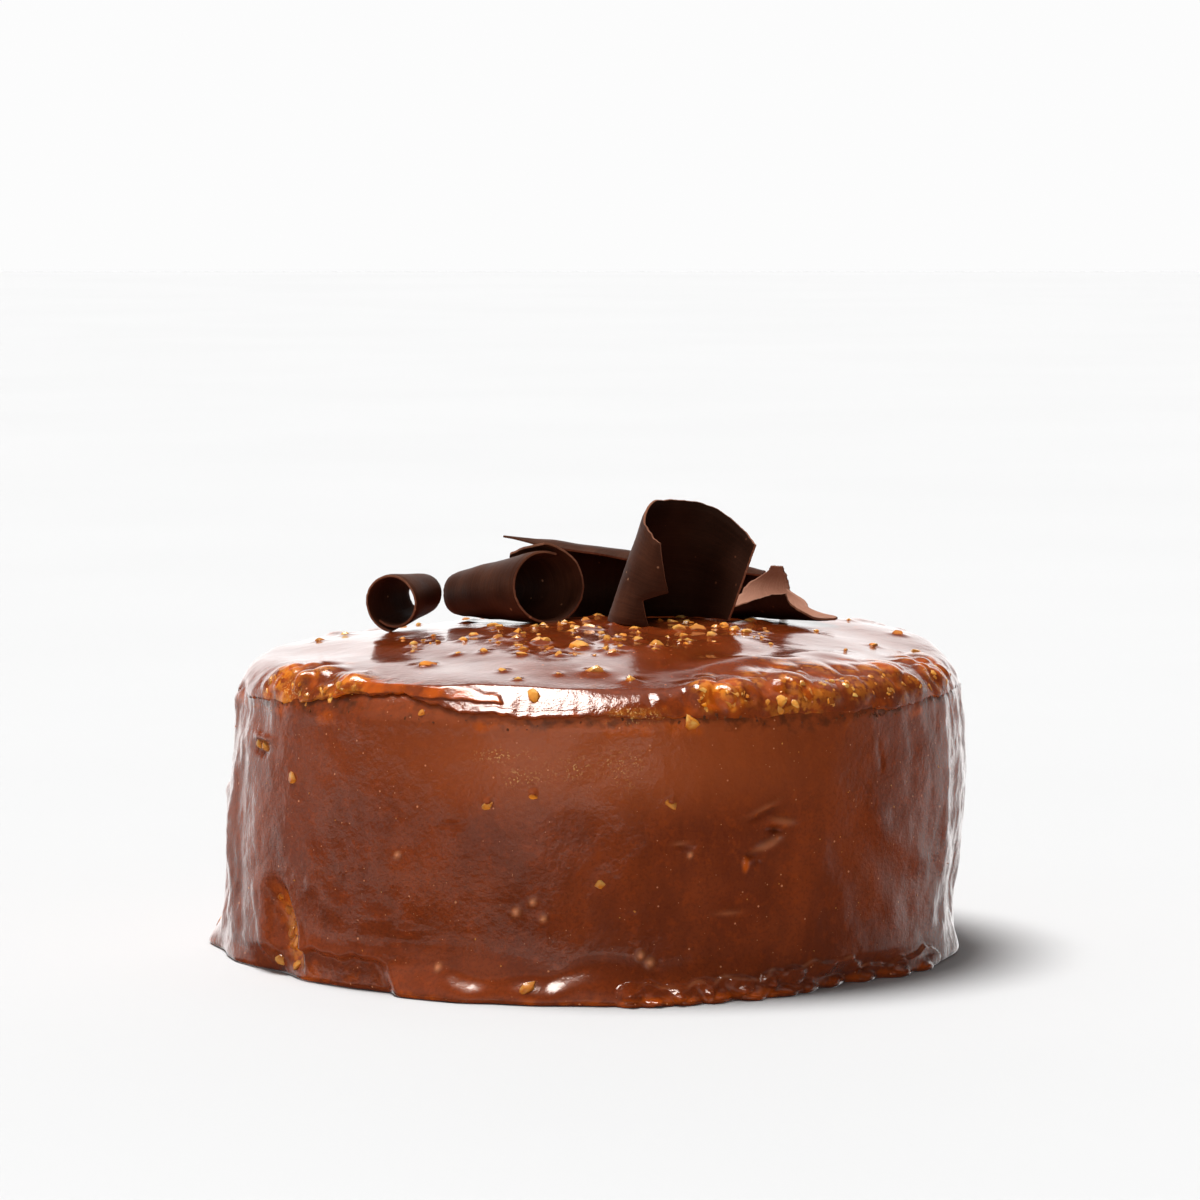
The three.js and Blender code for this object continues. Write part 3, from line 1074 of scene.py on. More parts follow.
@dataclass
class GlazedWall:
    """The wall of the cake: a smooth coat with runs at its sides and a pooled skirt."""

    form: CakeForm
    columns: int = 680
    crowding: float = 0.53
    top_height: float = 83.0
    inset: float = 0.5
    # Dents at least this deep get painted shade in their hollows.
    painted_shade_depth: float = -0.95
    pools: tuple[Lobe, ...] = (
        Lobe(7.6, 2.2, 1.6, 3.6), Lobe(13.5, 2.0, 1.4, 3.0), Lobe(18.5, 1.9, 1.9, 3.6),
        Lobe(24.5, 2.4, 2.2, 3.8), Lobe(32.5, 3.2, 2.8, 3.8), Lobe(40.5, 2.6, 2.4, 3.4),
        Lobe(47, 2.6, 2.6, 3.2), Lobe(54.5, 2.8, 2.6, 3.8), Lobe(64, 3.6, 1.4, 4.0),
        Lobe(-91, 5.0, 1.8, 11.0), Lobe(-70, 3.0, 1.2, 5.0), Lobe(100, 5.0, 1.6, 5.0),
        Lobe(132, 4.0, 2.0, 4.5), Lobe(170, 5.0, 1.8, 5.0), Lobe(206, 4.0, 1.6, 4.5),
        Lobe(245, 5.0, 1.8, 5.0),
    )
    dents: tuple[Mark, ...] = (
        Mark(25.2, 51.2, 2.3, 0.7, 0.7, 1.5, 0.7), Mark(25.4, 49.9, 2.1, 0.9, -1.0, 1.5, 0.7),
        Mark(28.6, 47.2, 2.2, 1.1, 0.7, 1.5, -0.35), Mark(27.2, 45.3, 1.3, 0.95, -1.4, 1.5, -0.3),
        Mark(27.3, 43.4, 0.6, 1.0, 0.7, 1.5), Mark(26.0, 41.2, 2.2, 1.6, 1.1, 1.5, 0.7),
        Mark(24.0, 39.0, 1.3, 1.0, -1.8, 1.5, 0.3), Mark(24.9, 37.4, 0.8, 1.4, -0.8, 1.5),
        Mark(22.9, 36.4, 0.5, 2.2, 1.0, 1.5), Mark(13.2, 42.0, 1.3, 0.9, -0.9, 1.5),
        Mark(20.8, 23.3, 1.9, 0.7, 0.45, 1.5), Mark(47.3, 64.6, 0.5, 3.0, -0.35, 1.5),
        Mark(48.0, 60.4, 0.5, 3.0, -0.35, 1.5), Mark(-22.0, 47.2, 1.6, 0.8, -0.4),
        Mark(-64.5, 64.6, 3.4, 0.9, 0.9, 1.5), Mark(-64.5, 61.4, 3.2, 1.8, -0.9, 1.5),
        Mark(-38.0, 30.0, 5.0, 6.0, -0.6), Mark(-33.0, 20.0, 3.0, 3.0, 0.8),
        Mark(-28.5, 17.5, 1.6, 1.4, 0.7), Mark(-26.0, 14.0, 5.0, 3.0, -0.6),
        Mark(-43.0, 22.0, 3.4, 5.0, 0.8), Mark(-47.0, 27.0, 1.6, 3.0, 0.6),
        Mark(33.0, 27.0, 4.0, 5.0, 0.45), Mark(40.0, 36.0, 4.0, 8.0, -0.4),
        Mark(66.0, 18.0, 2.6, 6.0, 0.8), Mark(71.0, 14.0, 2.6, 6.0, -0.8),
        Mark(140.0, 38.0, 2.2, 1.6, -0.8, 1.5), Mark(203.0, 52.0, 1.8, 2.4, -0.7, 1.5),
        Mark(262.0, 30.0, 2.0, 4.0, 0.8),
    )
    pimples: tuple[Mark, ...] = (
        Mark(-11.0, 24.3, 0.55, 1.0, 1.0), Mark(-8.6, 27.1, 0.45, 0.85, 0.8),
        Mark(-6.9, 22.6, 0.42, 0.8, 0.8), Mark(-30.5, 37.9, 0.42, 0.8, 0.6),
        Mark(-22.4, 8.6, 0.45, 0.9, 0.6), Mark(7.7, 12.7, 0.5, 1.0, 0.9),
        Mark(9.1, 10.8, 0.6, 1.1, 1.0), Mark(14.1, 39.5, 0.35, 0.7, 0.5),
        Mark(120.0, 34.0, 0.7, 1.2, 0.6), Mark(196.0, 46.0, 0.7, 1.2, 0.6),
        Mark(250.0, 26.0, 0.7, 1.2, 0.6),
    )
    beads: Spots = (
        (5.6, 0.0, 1.4), (9.8, 0.0, 1.9), (14.6, 0.0, 1.5), (19.0, 0.0, 2.1), (24.2, 0.0, 1.6),
        (29.4, 0.0, 2.2), (35.4, 0.0, 1.8), (41.8, 0.0, 2.3), (48.6, 0.0, 1.9), (55.4, 0.0, 2.2),
        (62.6, 0.0, 1.8), (6.0, 3.9, 1.7), (13.0, 3.2, 1.4), (17.4, 4.4, 1.6), (22.6, 4.2, 1.9),
        (27.4, 4.8, 1.5), (32.2, 5.4, 1.9), (38.6, 6.0, 1.6), (45.4, 4.4, 1.6),
    )
    glints: Spots = (
        (5.6, 4.4, 1.7), (9.6, 1.8, 1.1), (12.6, 3.0, 1.3), (17.2, 3.4, 1.5), (22.6, 3.2, 1.3),
        (27.6, 4.0, 1.2), (-16.4, 54.0, 1.0), (-9.7, 56.8, 1.0), (10.7, 54.5, 0.9),
    )
    # Painted highlights: pale tan on these faces of dents stands in for the light they catch.
    facets: tuple[Mark, ...] = (
        Mark(28.6, 47.4, 2.2, 1.0, 0.5, 1.5, -0.35), Mark(26.1, 41.4, 2.2, 1.4, 0.6, 1.5, 0.7),
        Mark(25.2, 51.4, 2.2, 0.6, 0.4, 1.0, 0.7), Mark(12.6, 42.6, 1.2, 0.5, 0.4),
        Mark(20.8, 23.3, 1.9, 0.7, 0.4),
    )
    # Patches of fine grain that also get painted glints.
    grain_and_glint_patches: tuple[Mark, ...] = (
        Mark(-14.5, 66.0, 3.4, 1.5, 1.0), Mark(-11.4, 60.2, 3.0, 1.9, 1.0),
        Mark(-4.5, 63.2, 2.6, 2.6, 0.9), Mark(3.2, 62.8, 3.0, 3.6, 0.9), Mark(5.4, 76.2, 4.0, 1.4, 0.8),
    )
    streaks: tuple[Mark, ...] = (
        Mark(22.8, 36.4, 0.7, 2.8, 1.0), Mark(27.3, 43.4, 0.8, 1.3, 0.8),
        Mark(24.0, 49.6, 0.4, 1.1, 0.6), Mark(29.0, 46.0, 0.7, 0.5, 0.5),
        Mark(14.1, 39.5, 0.5, 0.8, 0.7), Mark(-22.0, 46.0, 1.4, 0.6, 0.4),
    )
    ledge: Knots = (
        (3, 0.0), (5.5, 4.2), (9, 5.4), (14, 4.6), (20, 6.2), (24, 5.2), (31, 7.2), (38, 8.0),
        (44, 7.6), (47, 4.6), (53, 4.0), (60, 5.2), (66, 6.4), (71, 0.0),
    )

    def row_heights(self) -> Array:
        """Heights of the rows up the wall, closest at the skirt.

        Returns:
            The heights, from the foot up.
        """
        skirt = np.linspace(0.0, 13.0, 38)
        wall = np.linspace(13.0, 68.0, 87)
        seam = np.linspace(68.0, self.top_height, 20)
        return np.concatenate([skirt, wall[1:], seam[1:]])

    def relief(self, angle: Array, height: Array, points: Array) -> Array:
        """How far the glaze stands out from the bare wall.

        Args:
            angle: Degrees from the front.
            height: Heights of the bare wall.
            points: Places on the bare wall, for the lumps.

        Returns:
            Millimetres outwards.
        """
        form = self.form
        away = smoothstep(np.abs(angle), 46.0, 80.0)
        relief = form.runs(angle, height) + form.big_relief(angle, height)
        sway = 2.2 * lumps(points, 16.0, 14)
        hanging = (points + np.stack([sway, sway, 0 * sway], axis=1)) * np.array([1.0, 1.0, 0.34])
        on_wall = smoothstep(height, 1.0, 12.0) * (1 - smoothstep(height, 72.0, 82.0))
        relief += on_wall * (0.1 + 0.8 * away) * rough(hanging, 7.5, 11)
        relief += on_wall * 0.7 * away * rough(points, 10.0, 15)
        uneven = 1 - 0.9 * self.even_share(angle, height)
        relief += 0.5 * lumps(points, 15.0, 12) + 0.22 * uneven * lumps(points, 6.5, 16)
        relief += uneven * (0.07 * lumps(points, 2.9, 13) + 0.03 * lumps(points, 1.4, 18))
        relief += 0.3 * (1 - smoothstep(height, 6.0, 11.0)) * lumps(points, 6.0, 17)
        wavy = sector(angle, 48, 20, 2.0) * mound(height - 30, 20, 2.0)
        slanted = points + np.outer(points[:, 2], (0.8, 0.0, -0.5))
        relief += 0.5 * wavy * lumps(slanted, 9.0, 19)
        relief += self.pocket_relief(angle, height)
        relief += lit_facets(self.glints, angle, height, form.foot_radius, 1.1)
        for dent in self.dents + self.pimples:
            relief += dent.depth * dent.share(angle, height)
        return relief + self.skirt(angle, height) + self.seam(angle, height, points)

    def even_share(self, angle: Array, height: Array) -> Array:
        """How smooth the glaze lies, which is smoothest over the bulge of the foot at the front."""
        return sector(angle, -14, 18, 2.0) * (1 - smoothstep(height, 8.0, 11.5))

    def pocket(self, angle: Array, height: Array, aside: float = 0.0, width: float = 3.0) -> Array:
        """Share of a slanting hollow at the front left, or of a ridge beside it.

        Args:
            angle: Degrees from the front.
            height: Heights of the bare wall.
            aside: Degrees from the hollow's middle.
            width: Half width in degrees.

        Returns:
            Shares from 0 to 1.
        """
        middle = -52.4 - 0.24 * (height - 6.0) + aside
        across = mound(angle - middle, width, 2.0)
        return across * smoothstep(height, 1.0, 7.0) * (1 - smoothstep(height, 19.0, 29.0))

    def pocket_relief(self, angle: Array, height: Array) -> Array:
        """The hollow where nuts show, between a thin ridge and a broad one.

        Args:
            angle: Degrees from the front.
            height: Heights of the bare wall.

        Returns:
            Millimetres outwards.
        """
        hollow = self.pocket(angle, height)
        ridges = 0.8 * self.pocket(angle, height, 3.7, 0.9) + 0.9 * self.pocket(angle, height, -5.6, 2.6)
        return ridges - 1.5 * hollow

    def ledge_top(self, angle: Array) -> Array:
        """Height of the low ledge of glaze along the foot at the front right."""
        turn = np.radians(angle)
        return round_knots(self.ledge, angle) + 0.5 * np.sin(turn * 53) + 0.3 * np.sin(turn * 91 + 1)

    def recess(self, angle: Array, height: Array) -> Array:
        """Share of the bay at the front left, where the glaze stops short of the foot.

        Args:
            angle: Degrees from the front.
            height: Heights of the bare wall.

        Returns:
            Shares from 0 to 1.
        """
        start = -31.5 + 0.32 * np.maximum(6.0 - height, 0.0) - 0.5 * np.maximum(height - 6.0, 0.0)
        before = 1 - smoothstep(angle_from(angle, 0.0), start - 1.8, start + 1.8)
        return before * smoothstep(angle_from(angle, -52.0), -3.0, 3.0)

    def steps(self, angle: Array, height: Array, recess: Array) -> Array:
        """The bay under its crest at the front left, and the low ledge at the front right.

        Args:
            angle: Degrees from the front.
            height: Heights of the bare wall.
            recess: Share of the bay.

        Returns:
            Millimetres outwards.
        """
        turn = np.radians(angle)
        crest = 9.4 + 0.4 * np.sin(turn * 37) + 0.3 * np.sin(turn * 83)
        bay = 0.35 * mound(height - crest - 0.6, 1.3) - 1.7 * (1 - smoothstep(height, crest - 1.6, crest))
        top = self.ledge_top(angle)
        ledge = 1.1 * (1 - smoothstep(height, top - 0.5, top + 0.1)) + 0.5 * mound(height - top, 0.45)
        return recess * bay + smoothstep(top, 1.5, 3.5) * ledge

    def drops(self, angle: Array, height: Array) -> Array:
        """Round drops of glaze along the foot at the front right.

        Args:
            angle: Degrees from the front.
            height: Heights of the bare wall.

        Returns:
            Millimetres outwards.
        """
        drops = np.zeros_like(angle)
        for turn, middle, radius in self.beads:
            beside = angle_from(angle, turn) * math.radians(self.form.foot_radius)
            apart = np.hypot(beside / (2.1 * radius), (height - middle) / (1.3 * radius))
            drops = np.maximum(drops, 0.8 * radius * np.sqrt(np.clip(1 - np.square(apart), 0.0, 1.0)))
        return drops

    def skirt(self, angle: Array, height: Array) -> Array:
        """Glaze pooled round the foot, with its bay, its ledge and its drops, and a rounded underside.

        Args:
            angle: Degrees from the front.
            height: Heights of the bare wall.

        Returns:
            Millimetres outwards.
        """
        turn = np.radians(angle)
        recess = self.recess(angle, height)
        reach = self.form.skirt_reach(angle) * (1 - recess)
        tall = 8.4 + 0.9 * np.sin(turn * 13 + 1) + 0.6 * np.sin(turn * 29)
        tall = tall + 4.5 * smoothstep(angle, -6.0, 0.0)
        swell = np.cos(np.clip(height / tall, 0.0, 1.0) * math.pi / 2) ** 2
        relief = np.maximum(reach, 0.0) * swell
        relief += np.minimum(reach, 0.0) * (1 - smoothstep(height, 0.0, 9.0))
        relief += self.steps(angle, height, recess) + self.drops(angle, height)
        for pool in self.pools:
            bead = np.clip(1 - np.square(height / pool.tall), 0.0, 1.0)
            relief += pool.reach * bead * pool.share(angle, 1.2)
        under = np.clip((1.8 - height) / 1.8, 0.0, 1.0)
        return relief - 1.5 * (1 - np.sqrt(1 - 0.98 * np.square(under)))

    def seam_share(self, angle: Array, height: Array, points: Array) -> Array:
        """How much dark crumb shows under the lip.

        Args:
            angle: Degrees from the front.
            height: Heights of the bare wall.
            points: Places on the bare wall.

        Returns:
            Shares from 0 to about 1.
        """
        left = sector(angle, -38, 22, 2.0)
        right = sector(angle, 33, 18, 2.0)
        middle = 74.9 + 0.8 * np.sin(np.radians(angle) * 7) + 1.2 * left
        band = mound(height - middle, 2.3 + 0.6 * left + 1.0 * right)
        patches = smoothstep(rough(points * np.array([1.0, 1.0, 0.6]), 8.0, 21), -0.4, 0.5)
        faded = 1 - 0.7 * smoothstep(np.abs(angle), 68.0, 84.0)
        marked = 0.6 + 0.25 * sector(angle, 30, 26, 2.0) + 0.3 * left
        return band * faded * marked * (0.3 + 0.6 * patches)

    def seam(self, angle: Array, height: Array, points: Array) -> Array:
        """Rough crumb under the lip."""
        return 0.45 * self.seam_share(angle, height, points) * rough(points, 1.9, 22)

    def thin_share(self, angle: Array, height: Array, points: Array) -> Array:
        """Where the glaze is thin enough to glow orange.

        Args:
            angle: Degrees from the front.
            height: Heights of the bare wall.
            points: Places on the bare wall.

        Returns:
            Shares from 0 to 1.
        """
        glow = 0.55 * mound(height - 73.2, 2.6) * smoothstep(lumps(points, 9.0, 41), -0.1, 0.6)
        pocket = 0.7 * self.pocket(angle, height)
        recess = 0.4 * sector(angle, -41, 8, 2.0) * mound(height - 4, 4, 2.0)
        foot = 0.55 * smoothstep(height, 3.6, 0.6) * smoothstep(lumps(points, 5.0, 42), -0.4, 0.5)
        drops = 0.6 * mound(height - 1.6, 1.4) * smoothstep(self.ledge_top(angle), 1.5, 3.5)
        cracks = strongest(self.streaks, angle, height)
        return np.maximum.reduce([glow, pocket, recess, foot, drops, cracks])

    def build(self, glaze: Material) -> Piece:
        """Models the wall as a grid rolled round the cake, closed under it and below the lip.

        Args:
            glaze: Its finish.

        Returns:
            The piece.
        """
        heights = self.row_heights()
        last = len(heights) + 3
        sheet, angle, row = rolled_grid("glaze_wall", self.columns, last + 1, self.crowding)
        height = heights[np.clip(row - 2, 0, len(heights) - 1)]
        bare = self.form.wall_radius(height)
        points = self.form.placed(angle, bare, height, height)
        lipped = smoothstep(height, 74.0, 79.0)
        radius = bare + self.relief(angle, height, points) - self.inset * lipped
        share = drawn_in(row, {0: 0.0, 1: 0.96, last - 1: 0.9, last: 0.0})
        write_places(sheet, self.form.placed(angle, radius * share, height, height))
        self.paint_marks(sheet, angle, height, points)
        return finish_skin(sheet, glaze)

    def paint_marks(self, sheet: Piece, angle: Array, height: Array, points: Array) -> None:
        """Paints where the wall is thin, dark with crumb or with painted shade in deep dents, gold, or grainy
        with painted glints, and where it gets painted light on its upper front, tan with painted highlights
        on dent faces and the ledge's edge, or even.

        Args:
            sheet: The piece.
            angle: Degrees from the front.
            height: Heights of the bare wall.
            points: Places on the bare wall.
        """
        seam = self.seam_share(angle, height, points)
        # Painted shade: the hollows of deep dents are darkened with the seam's colour.
        for dent in self.dents:
            if dent.depth <= self.painted_shade_depth:
                seam = np.maximum(seam, 0.4 * dent.share(angle, height))
        gold = 0.8 * self.pocket(angle, height, 0.8, 2.0) * mound(height - 11, 8)
        # Grain and painted glints over the crinkled patches.
        grain_and_painted_glints = strongest(self.grain_and_glint_patches, angle, height) * smoothstep(rough(points, 4.0, 23), -0.6, 0.4)
        paint(sheet, "marks", (self.thin_share(angle, height, points), seam, gold, grain_and_painted_glints))
        # Painted light: the upper front of the wall is painted lighter, where the soft light from above falls
        # most.
        pale = 0.85 * smoothstep(height, 44.0, 64.0) * sector(angle, -1, 33)
        # Painted highlight: a thin tan line along the ledge's top edge stands in for the light it catches.
        ledge = self.ledge_top(angle)
        tan = 0.3 * mound(height - ledge, 0.3) * smoothstep(ledge, 1.5, 3.5)
        tan = tan * smoothstep(lumps(points, 4.0, 24), -0.5, 0.4)
        # Painted highlights: pale tan on the lit faces of dents.
        tan = np.maximum(tan, 0.5 * strongest(self.facets, angle, height))
        for pimple in self.pimples:
            tan = np.maximum(tan, 0.85 * pimple.share(angle, height))
        paint(sheet, "tone", (pale, tan, self.even_share(angle, height)))


@dataclass
class PouredTop:
    """The glaze poured over the top, down to the lip that it ends in."""

    form: CakeForm
    nuts: tuple[NutSpot, ...]
    columns: int = 800
    crowding: float = 0.45
    dome_rows: int = 62
    shoulder_rows: int = 34
    lip_rows: int = 7
    lip_thickness: float = 1.3
    underside_lift: float = 1.5
    crease_share: float = 0.32
    rim_nuts: int = 280
    seed: int = 7
    edge_heights: Knots = (
        (-180, 77.5), (-120, 76.6), (-90, 75.8), (-70, 75.2), (-60, 75.0), (-49, 77.8), (-43.5, 80.6),
        (-36, 80.9), (-31, 80.3), (-27, 79.2), (-23, 77.8), (-15, 77.2), (-4, 76.9), (4, 76.6),
        (14, 76.4), (25, 76.2), (45, 75.6), (70, 76.0), (90, 76.8), (130, 77.6),
    )
    edge_steps: Knots = (
        (-180, 0.9), (-90, 0.3), (-62, 0.1), (-50, 0.25), (-43, 0.8), (-32, 0.9), (-24, 0.7),
        (-14, 0.75), (0, 0.75), (10, 0.5), (22, 0.3), (45, 0.2), (70, 0.3), (95, 0.6),
    )
    glints: Spots = (
        (-54.0, 80.8, 2.0), (-47.5, 80.6, 1.7), (8.4, 80.8, 2.2), (14.2, 80.8, 2.5), (19.2, 80.4, 3.2),
        (24.0, 81.0, 2.0), (31.0, 80.8, 1.9),
    )
    creases: Knots = (
        (-60, 94.2), (-47, 96.0), (-43, 96.9), (-26, 96.9), (-22, 95.2), (-18, 94.2), (60, 94.2),
    )
    band_crest: Knots = (
        (-47, 76.0), (-44, 83.9), (-36, 83.9), (-28, 83.4), (-20, 82.4), (-16, 80.8), (-13, 76.0),
    )
    band_foot: Knots = (
        (-48, 80.6), (-43.5, 80.4), (-36, 80.7), (-28, 80.2), (-20, 80.0), (-15, 79.4),
    )

    def edge(self, angle: Array) -> Array:
        """Height of the lip's lower edge, which wanders.

        Args:
            angle: Degrees from the front.

        Returns:
            The heights.
        """
        turn = np.radians(angle)
        wander = 0.35 * np.sin(11 * turn + 1) + 0.25 * np.sin(23 * turn + 2) + 0.2 * np.sin(41 * turn)
        wander += 0.22 * np.sin(83 * turn + 1) * np.sin(37 * turn) + 0.12 * np.sin(151 * turn)
        return round_knots(self.edge_heights, angle) + wander

    def rim_lumps(self, angle: Array, height: Array, points: Array) -> tuple[Array, Array]:
        """Nuts pushing up under the rim.

        Args:
            angle: Degrees from the front.
            height: Heights of the bare cake.
            points: Places on the bare cake.

        Returns:
            How far they push, in millimetres, and how golden the glaze is over them.
        """
        dice = np.random.default_rng(self.seed)
        weight = rim_share(angle, height)
        chosen = dice.choice(np.flatnonzero(weight > 0.3), self.rim_nuts, replace=False)
        push = np.zeros_like(angle)
        golden = np.zeros_like(angle)
        for index in chosen:
            radius = 1.3 + 4.4 * dice.random() ** 2
            near = np.linalg.norm(points - points[index], axis=1) / radius
            push = np.maximum(push, 0.6 * radius * weight[index] * mound(near, 1.0, 1.3))
            golden = np.maximum(golden, dice.random() * weight[index] * mound(near, 0.75, 2.0))
        return push, golden

    def band(self, angle: Array, height: Array, points: Array) -> Array:
        """Share of a thin ragged sheet of glaze that laps over the lip at the front left.

        Args:
            angle: Degrees from the front.
            height: Heights of the bare cake.
            points: Places on the bare cake.

        Returns:
            Shares from 0 to 1.
        """
        foot = round_knots(self.band_foot, angle) + 0.4 * rough(points, 3.2, 74)
        crest = round_knots(self.band_crest, angle) + 0.5 * lumps(points, 4.0, 73)
        return smoothstep(height - foot, -0.25, 0.25) * smoothstep(crest - height, -0.5, 0.5)

    def sheeted(self, angle: Array) -> Array:
        """How smoothly the glaze ran down over the lip, which it did at the front."""
        return sector(angle, -13, 30, 4.0)

    def faced(self, angle: Array, down: Array) -> tuple[Array, Array]:
        """Radius and height from the dome's edge down to the lip, with a straight face at the front.

        Args:
            angle: Degrees from the front.
            down: Share of the way down.

        Returns:
            The radius and the height.
        """
        form = self.form
        edge = self.edge(angle)
        share = np.linspace(0.0, 1.0, 240)
        lowest = np.interp(edge, form.shoulder(share)[:, 1], share)
        radius, height = form.shoulder(1.0 + (lowest - 1.0) * down).T
        lip_radius = form.shoulder(lowest)[:, 0]
        above = np.clip(down / self.crease_share, 0.0, 1.0)
        below = np.clip((down - self.crease_share) / (1 - self.crease_share), 0.0, 1.0)
        crease = round_knots(self.creases, angle)
        over = form.dome_radius + (crease - form.dome_radius) * above
        straight = over + (lip_radius - crease) * below
        level = form.dome(over) + (edge - form.dome(crease)) * below
        flat = np.maximum(sector(angle, -10, 12, 2.0), sector(angle, -30, 14, 3.0))
        return radius + flat * (straight - radius), height + flat * (level - height)

    def pools(self, x: Array, y: Array) -> Array:
        """How far the glaze is drawn up round each nut of the top.

        Args:
            x: Places to the right of the middle.
            y: Places behind the middle.

        Returns:
            Millimetres upwards.
        """
        rise = np.zeros_like(x)
        for nut in self.nuts:
            apart = np.hypot(x - nut.x, y - nut.y)
            rise += 0.42 * nut.radius * mound(apart, 1.6 * nut.radius)
        return rise

    def relief(
        self, angle: Array, radius: Array, height: Array, down: Array, bare: Array, push: Array
    ) -> tuple[Array, Array]:
        """How far the poured glaze stands out from the bare cake and rises over it.

        Args:
            angle: Degrees from the front.
            radius: Distance of the bare cake from its axis.
            height: Heights of the bare cake.
            down: Share of the way from the dome's edge down to the lip.
            bare: Places on the bare cake.
            push: How far nuts push up the rim.

        Returns:
            Millimetres outwards and millimetres upwards.
        """
        form = self.form
        swollen = (0.6 - 0.55 * self.sheeted(angle)) * lumps(bare, 5.0, 54) * smoothstep(down, 0.25, 0.6)
        step = round_knots(self.edge_steps, angle)
        relief = form.big_relief(angle, height) + form.runs(angle, height) + step + swollen
        aside = 1 - sector(angle, -20.0, 26.0, 2.0)
        corner = aside * (0.7 + 0.35 * lumps(bare, 11.0, 53)) * mound(down - 0.4, 0.26)
        nutty = push * (1 - smoothstep(height, 84.4, 85.6)) * (1 - 0.85 * smoothstep(down, 0.72, 1.0))
        on_wall = smoothstep(radius, form.dome_radius - 4, form.neck_radius - 3)
        outward = on_wall * relief + 0.6 * corner + 0.75 * nutty + 0.6 * self.band(angle, height, bare)
        outward += lit_facets(self.glints, angle, height, form.neck_radius, 0.0)
        ridge = sector(angle, 40, 22, 1.5) * mound(radius - 79.0, 10.0)
        ridge = ridge * (3.0 + 1.2 * lumps(bare, 9.0, 55))
        ripples = 0.16 * lumps(bare, 19.0, 61) + 0.08 * lumps(bare, 7.5, 62) + 0.025 * lumps(bare, 2.8, 63)
        x, y, _ = bare.T
        rise = form.top_relief(x - form.lean, y) + ripples + self.pools(x, y) + 0.85 * nutty + ridge
        on_top = smoothstep(height, form.lip_height, form.dome_edge_height)
        return outward, on_top * rise + 0.9 * corner

    def build(self, glaze: Material) -> Piece:
        """Models the top as a grid rolled round the axis, with a rounded lip and a closed underside.

        Args:
            glaze: Its finish.

        Returns:
            The piece.
        """
        form = self.form
        dome, shoulder, lip = self.dome_rows, self.shoulder_rows, self.lip_rows
        last = dome + shoulder + lip + 2
        sheet, angle, row = rolled_grid("glaze_top", self.columns, last + 1, self.crowding)
        down = np.clip((row - dome + 1) / shoulder, 0.0, 1.0)
        radius, height = self.faced(angle, down)
        on_dome = row < dome
        radius[on_dome] = form.dome_radius * row[on_dome] / (dome - 1)
        height[on_dome] = form.dome(radius[on_dome])
        bare = form.placed(angle, radius, height, height)
        push, golden = self.rim_lumps(angle, height, bare)
        outward, lift = self.relief(angle, radius, height, down, bare, push)
        turned = np.clip((row - dome - shoulder + 1) / lip, 0.0, 1.0) * math.pi
        half = self.lip_thickness / 2
        outward = outward - half + half * np.cos(turned)
        lift = lift - half * np.sin(turned)
        lift[row > last - 3] += self.underside_lift
        share = drawn_in(row, {last - 1: 0.93, last: 0.0})
        write_places(sheet, form.placed(angle, (radius + outward) * share, height + lift, height))
        self.paint_marks(sheet, angle, height, down, bare, golden)
        return finish_skin(sheet, glaze)

    def paint_marks(
        self, sheet: Piece, angle: Array, height: Array, down: Array, bare: Array, golden: Array
    ) -> None:
        """Paints where the poured glaze is thin, gold over nuts, or grainy with painted glints.

        Args:
            sheet: The piece.
            angle: Degrees from the front.
            height: Heights of the bare cake.
            down: Share of the way from the dome's edge down to the lip.
            bare: Places on the bare cake.
            golden: How golden the glaze is over the nuts of the rim.
        """
        band = 0.66 * self.band(angle, height, bare)
        golden = np.maximum(golden, band * sector(angle, -42.6, 2.4, 2.0))
        rim = rim_share(angle, height)
        hot = rim * smoothstep(rough(bare, 6.0, 71), -0.6, 0.3)
        edge = 0.45 * smoothstep(down, 0.55, 0.95) * smoothstep(lumps(bare, 6.0, 72), -0.5, 0.4)
        speckled = 0.9 * sector(angle, 5.4, 4.0, 2.0) * smoothstep(down, 0.75, 0.95)
        thin = np.maximum.reduce([band, 0.85 * hot, edge])
        # Grain and painted glints: the gold crinkles of the left rim.
        crinkled_glints = sector(angle, -56, 7, 2.0) * mound(height - 79.0, 3.6, 2.0)
        crinkled_glints = 0.9 * crinkled_glints * smoothstep(rough(bare, 3.6, 75), -0.2, 0.5)
        grain_and_painted_glints = np.maximum(0.9 * speckled, crinkled_glints)
        none = np.zeros_like(down)
        paint(sheet, "marks", (thin, none, np.maximum(golden, 0.3 * speckled), grain_and_painted_glints))
        even = np.maximum(1.0 - smoothstep(down, 0.0, 0.3), 0.35 * self.sheeted(angle))
        paint(sheet, "tone", (none, none, even))


# Nuts and crumbs


class NutCoat(Enum):
    """How far glaze covers a nut."""

    BARE = 0.0
    HALF = 0.45
    DEEP = 0.75


@dataclass(frozen=True)
class Perch:
    """Where a small lump sits: a point on the glaze, the way out, its radius and its coat."""

    point: Vector
    out: Vector
    radius: float
    coat: NutCoat


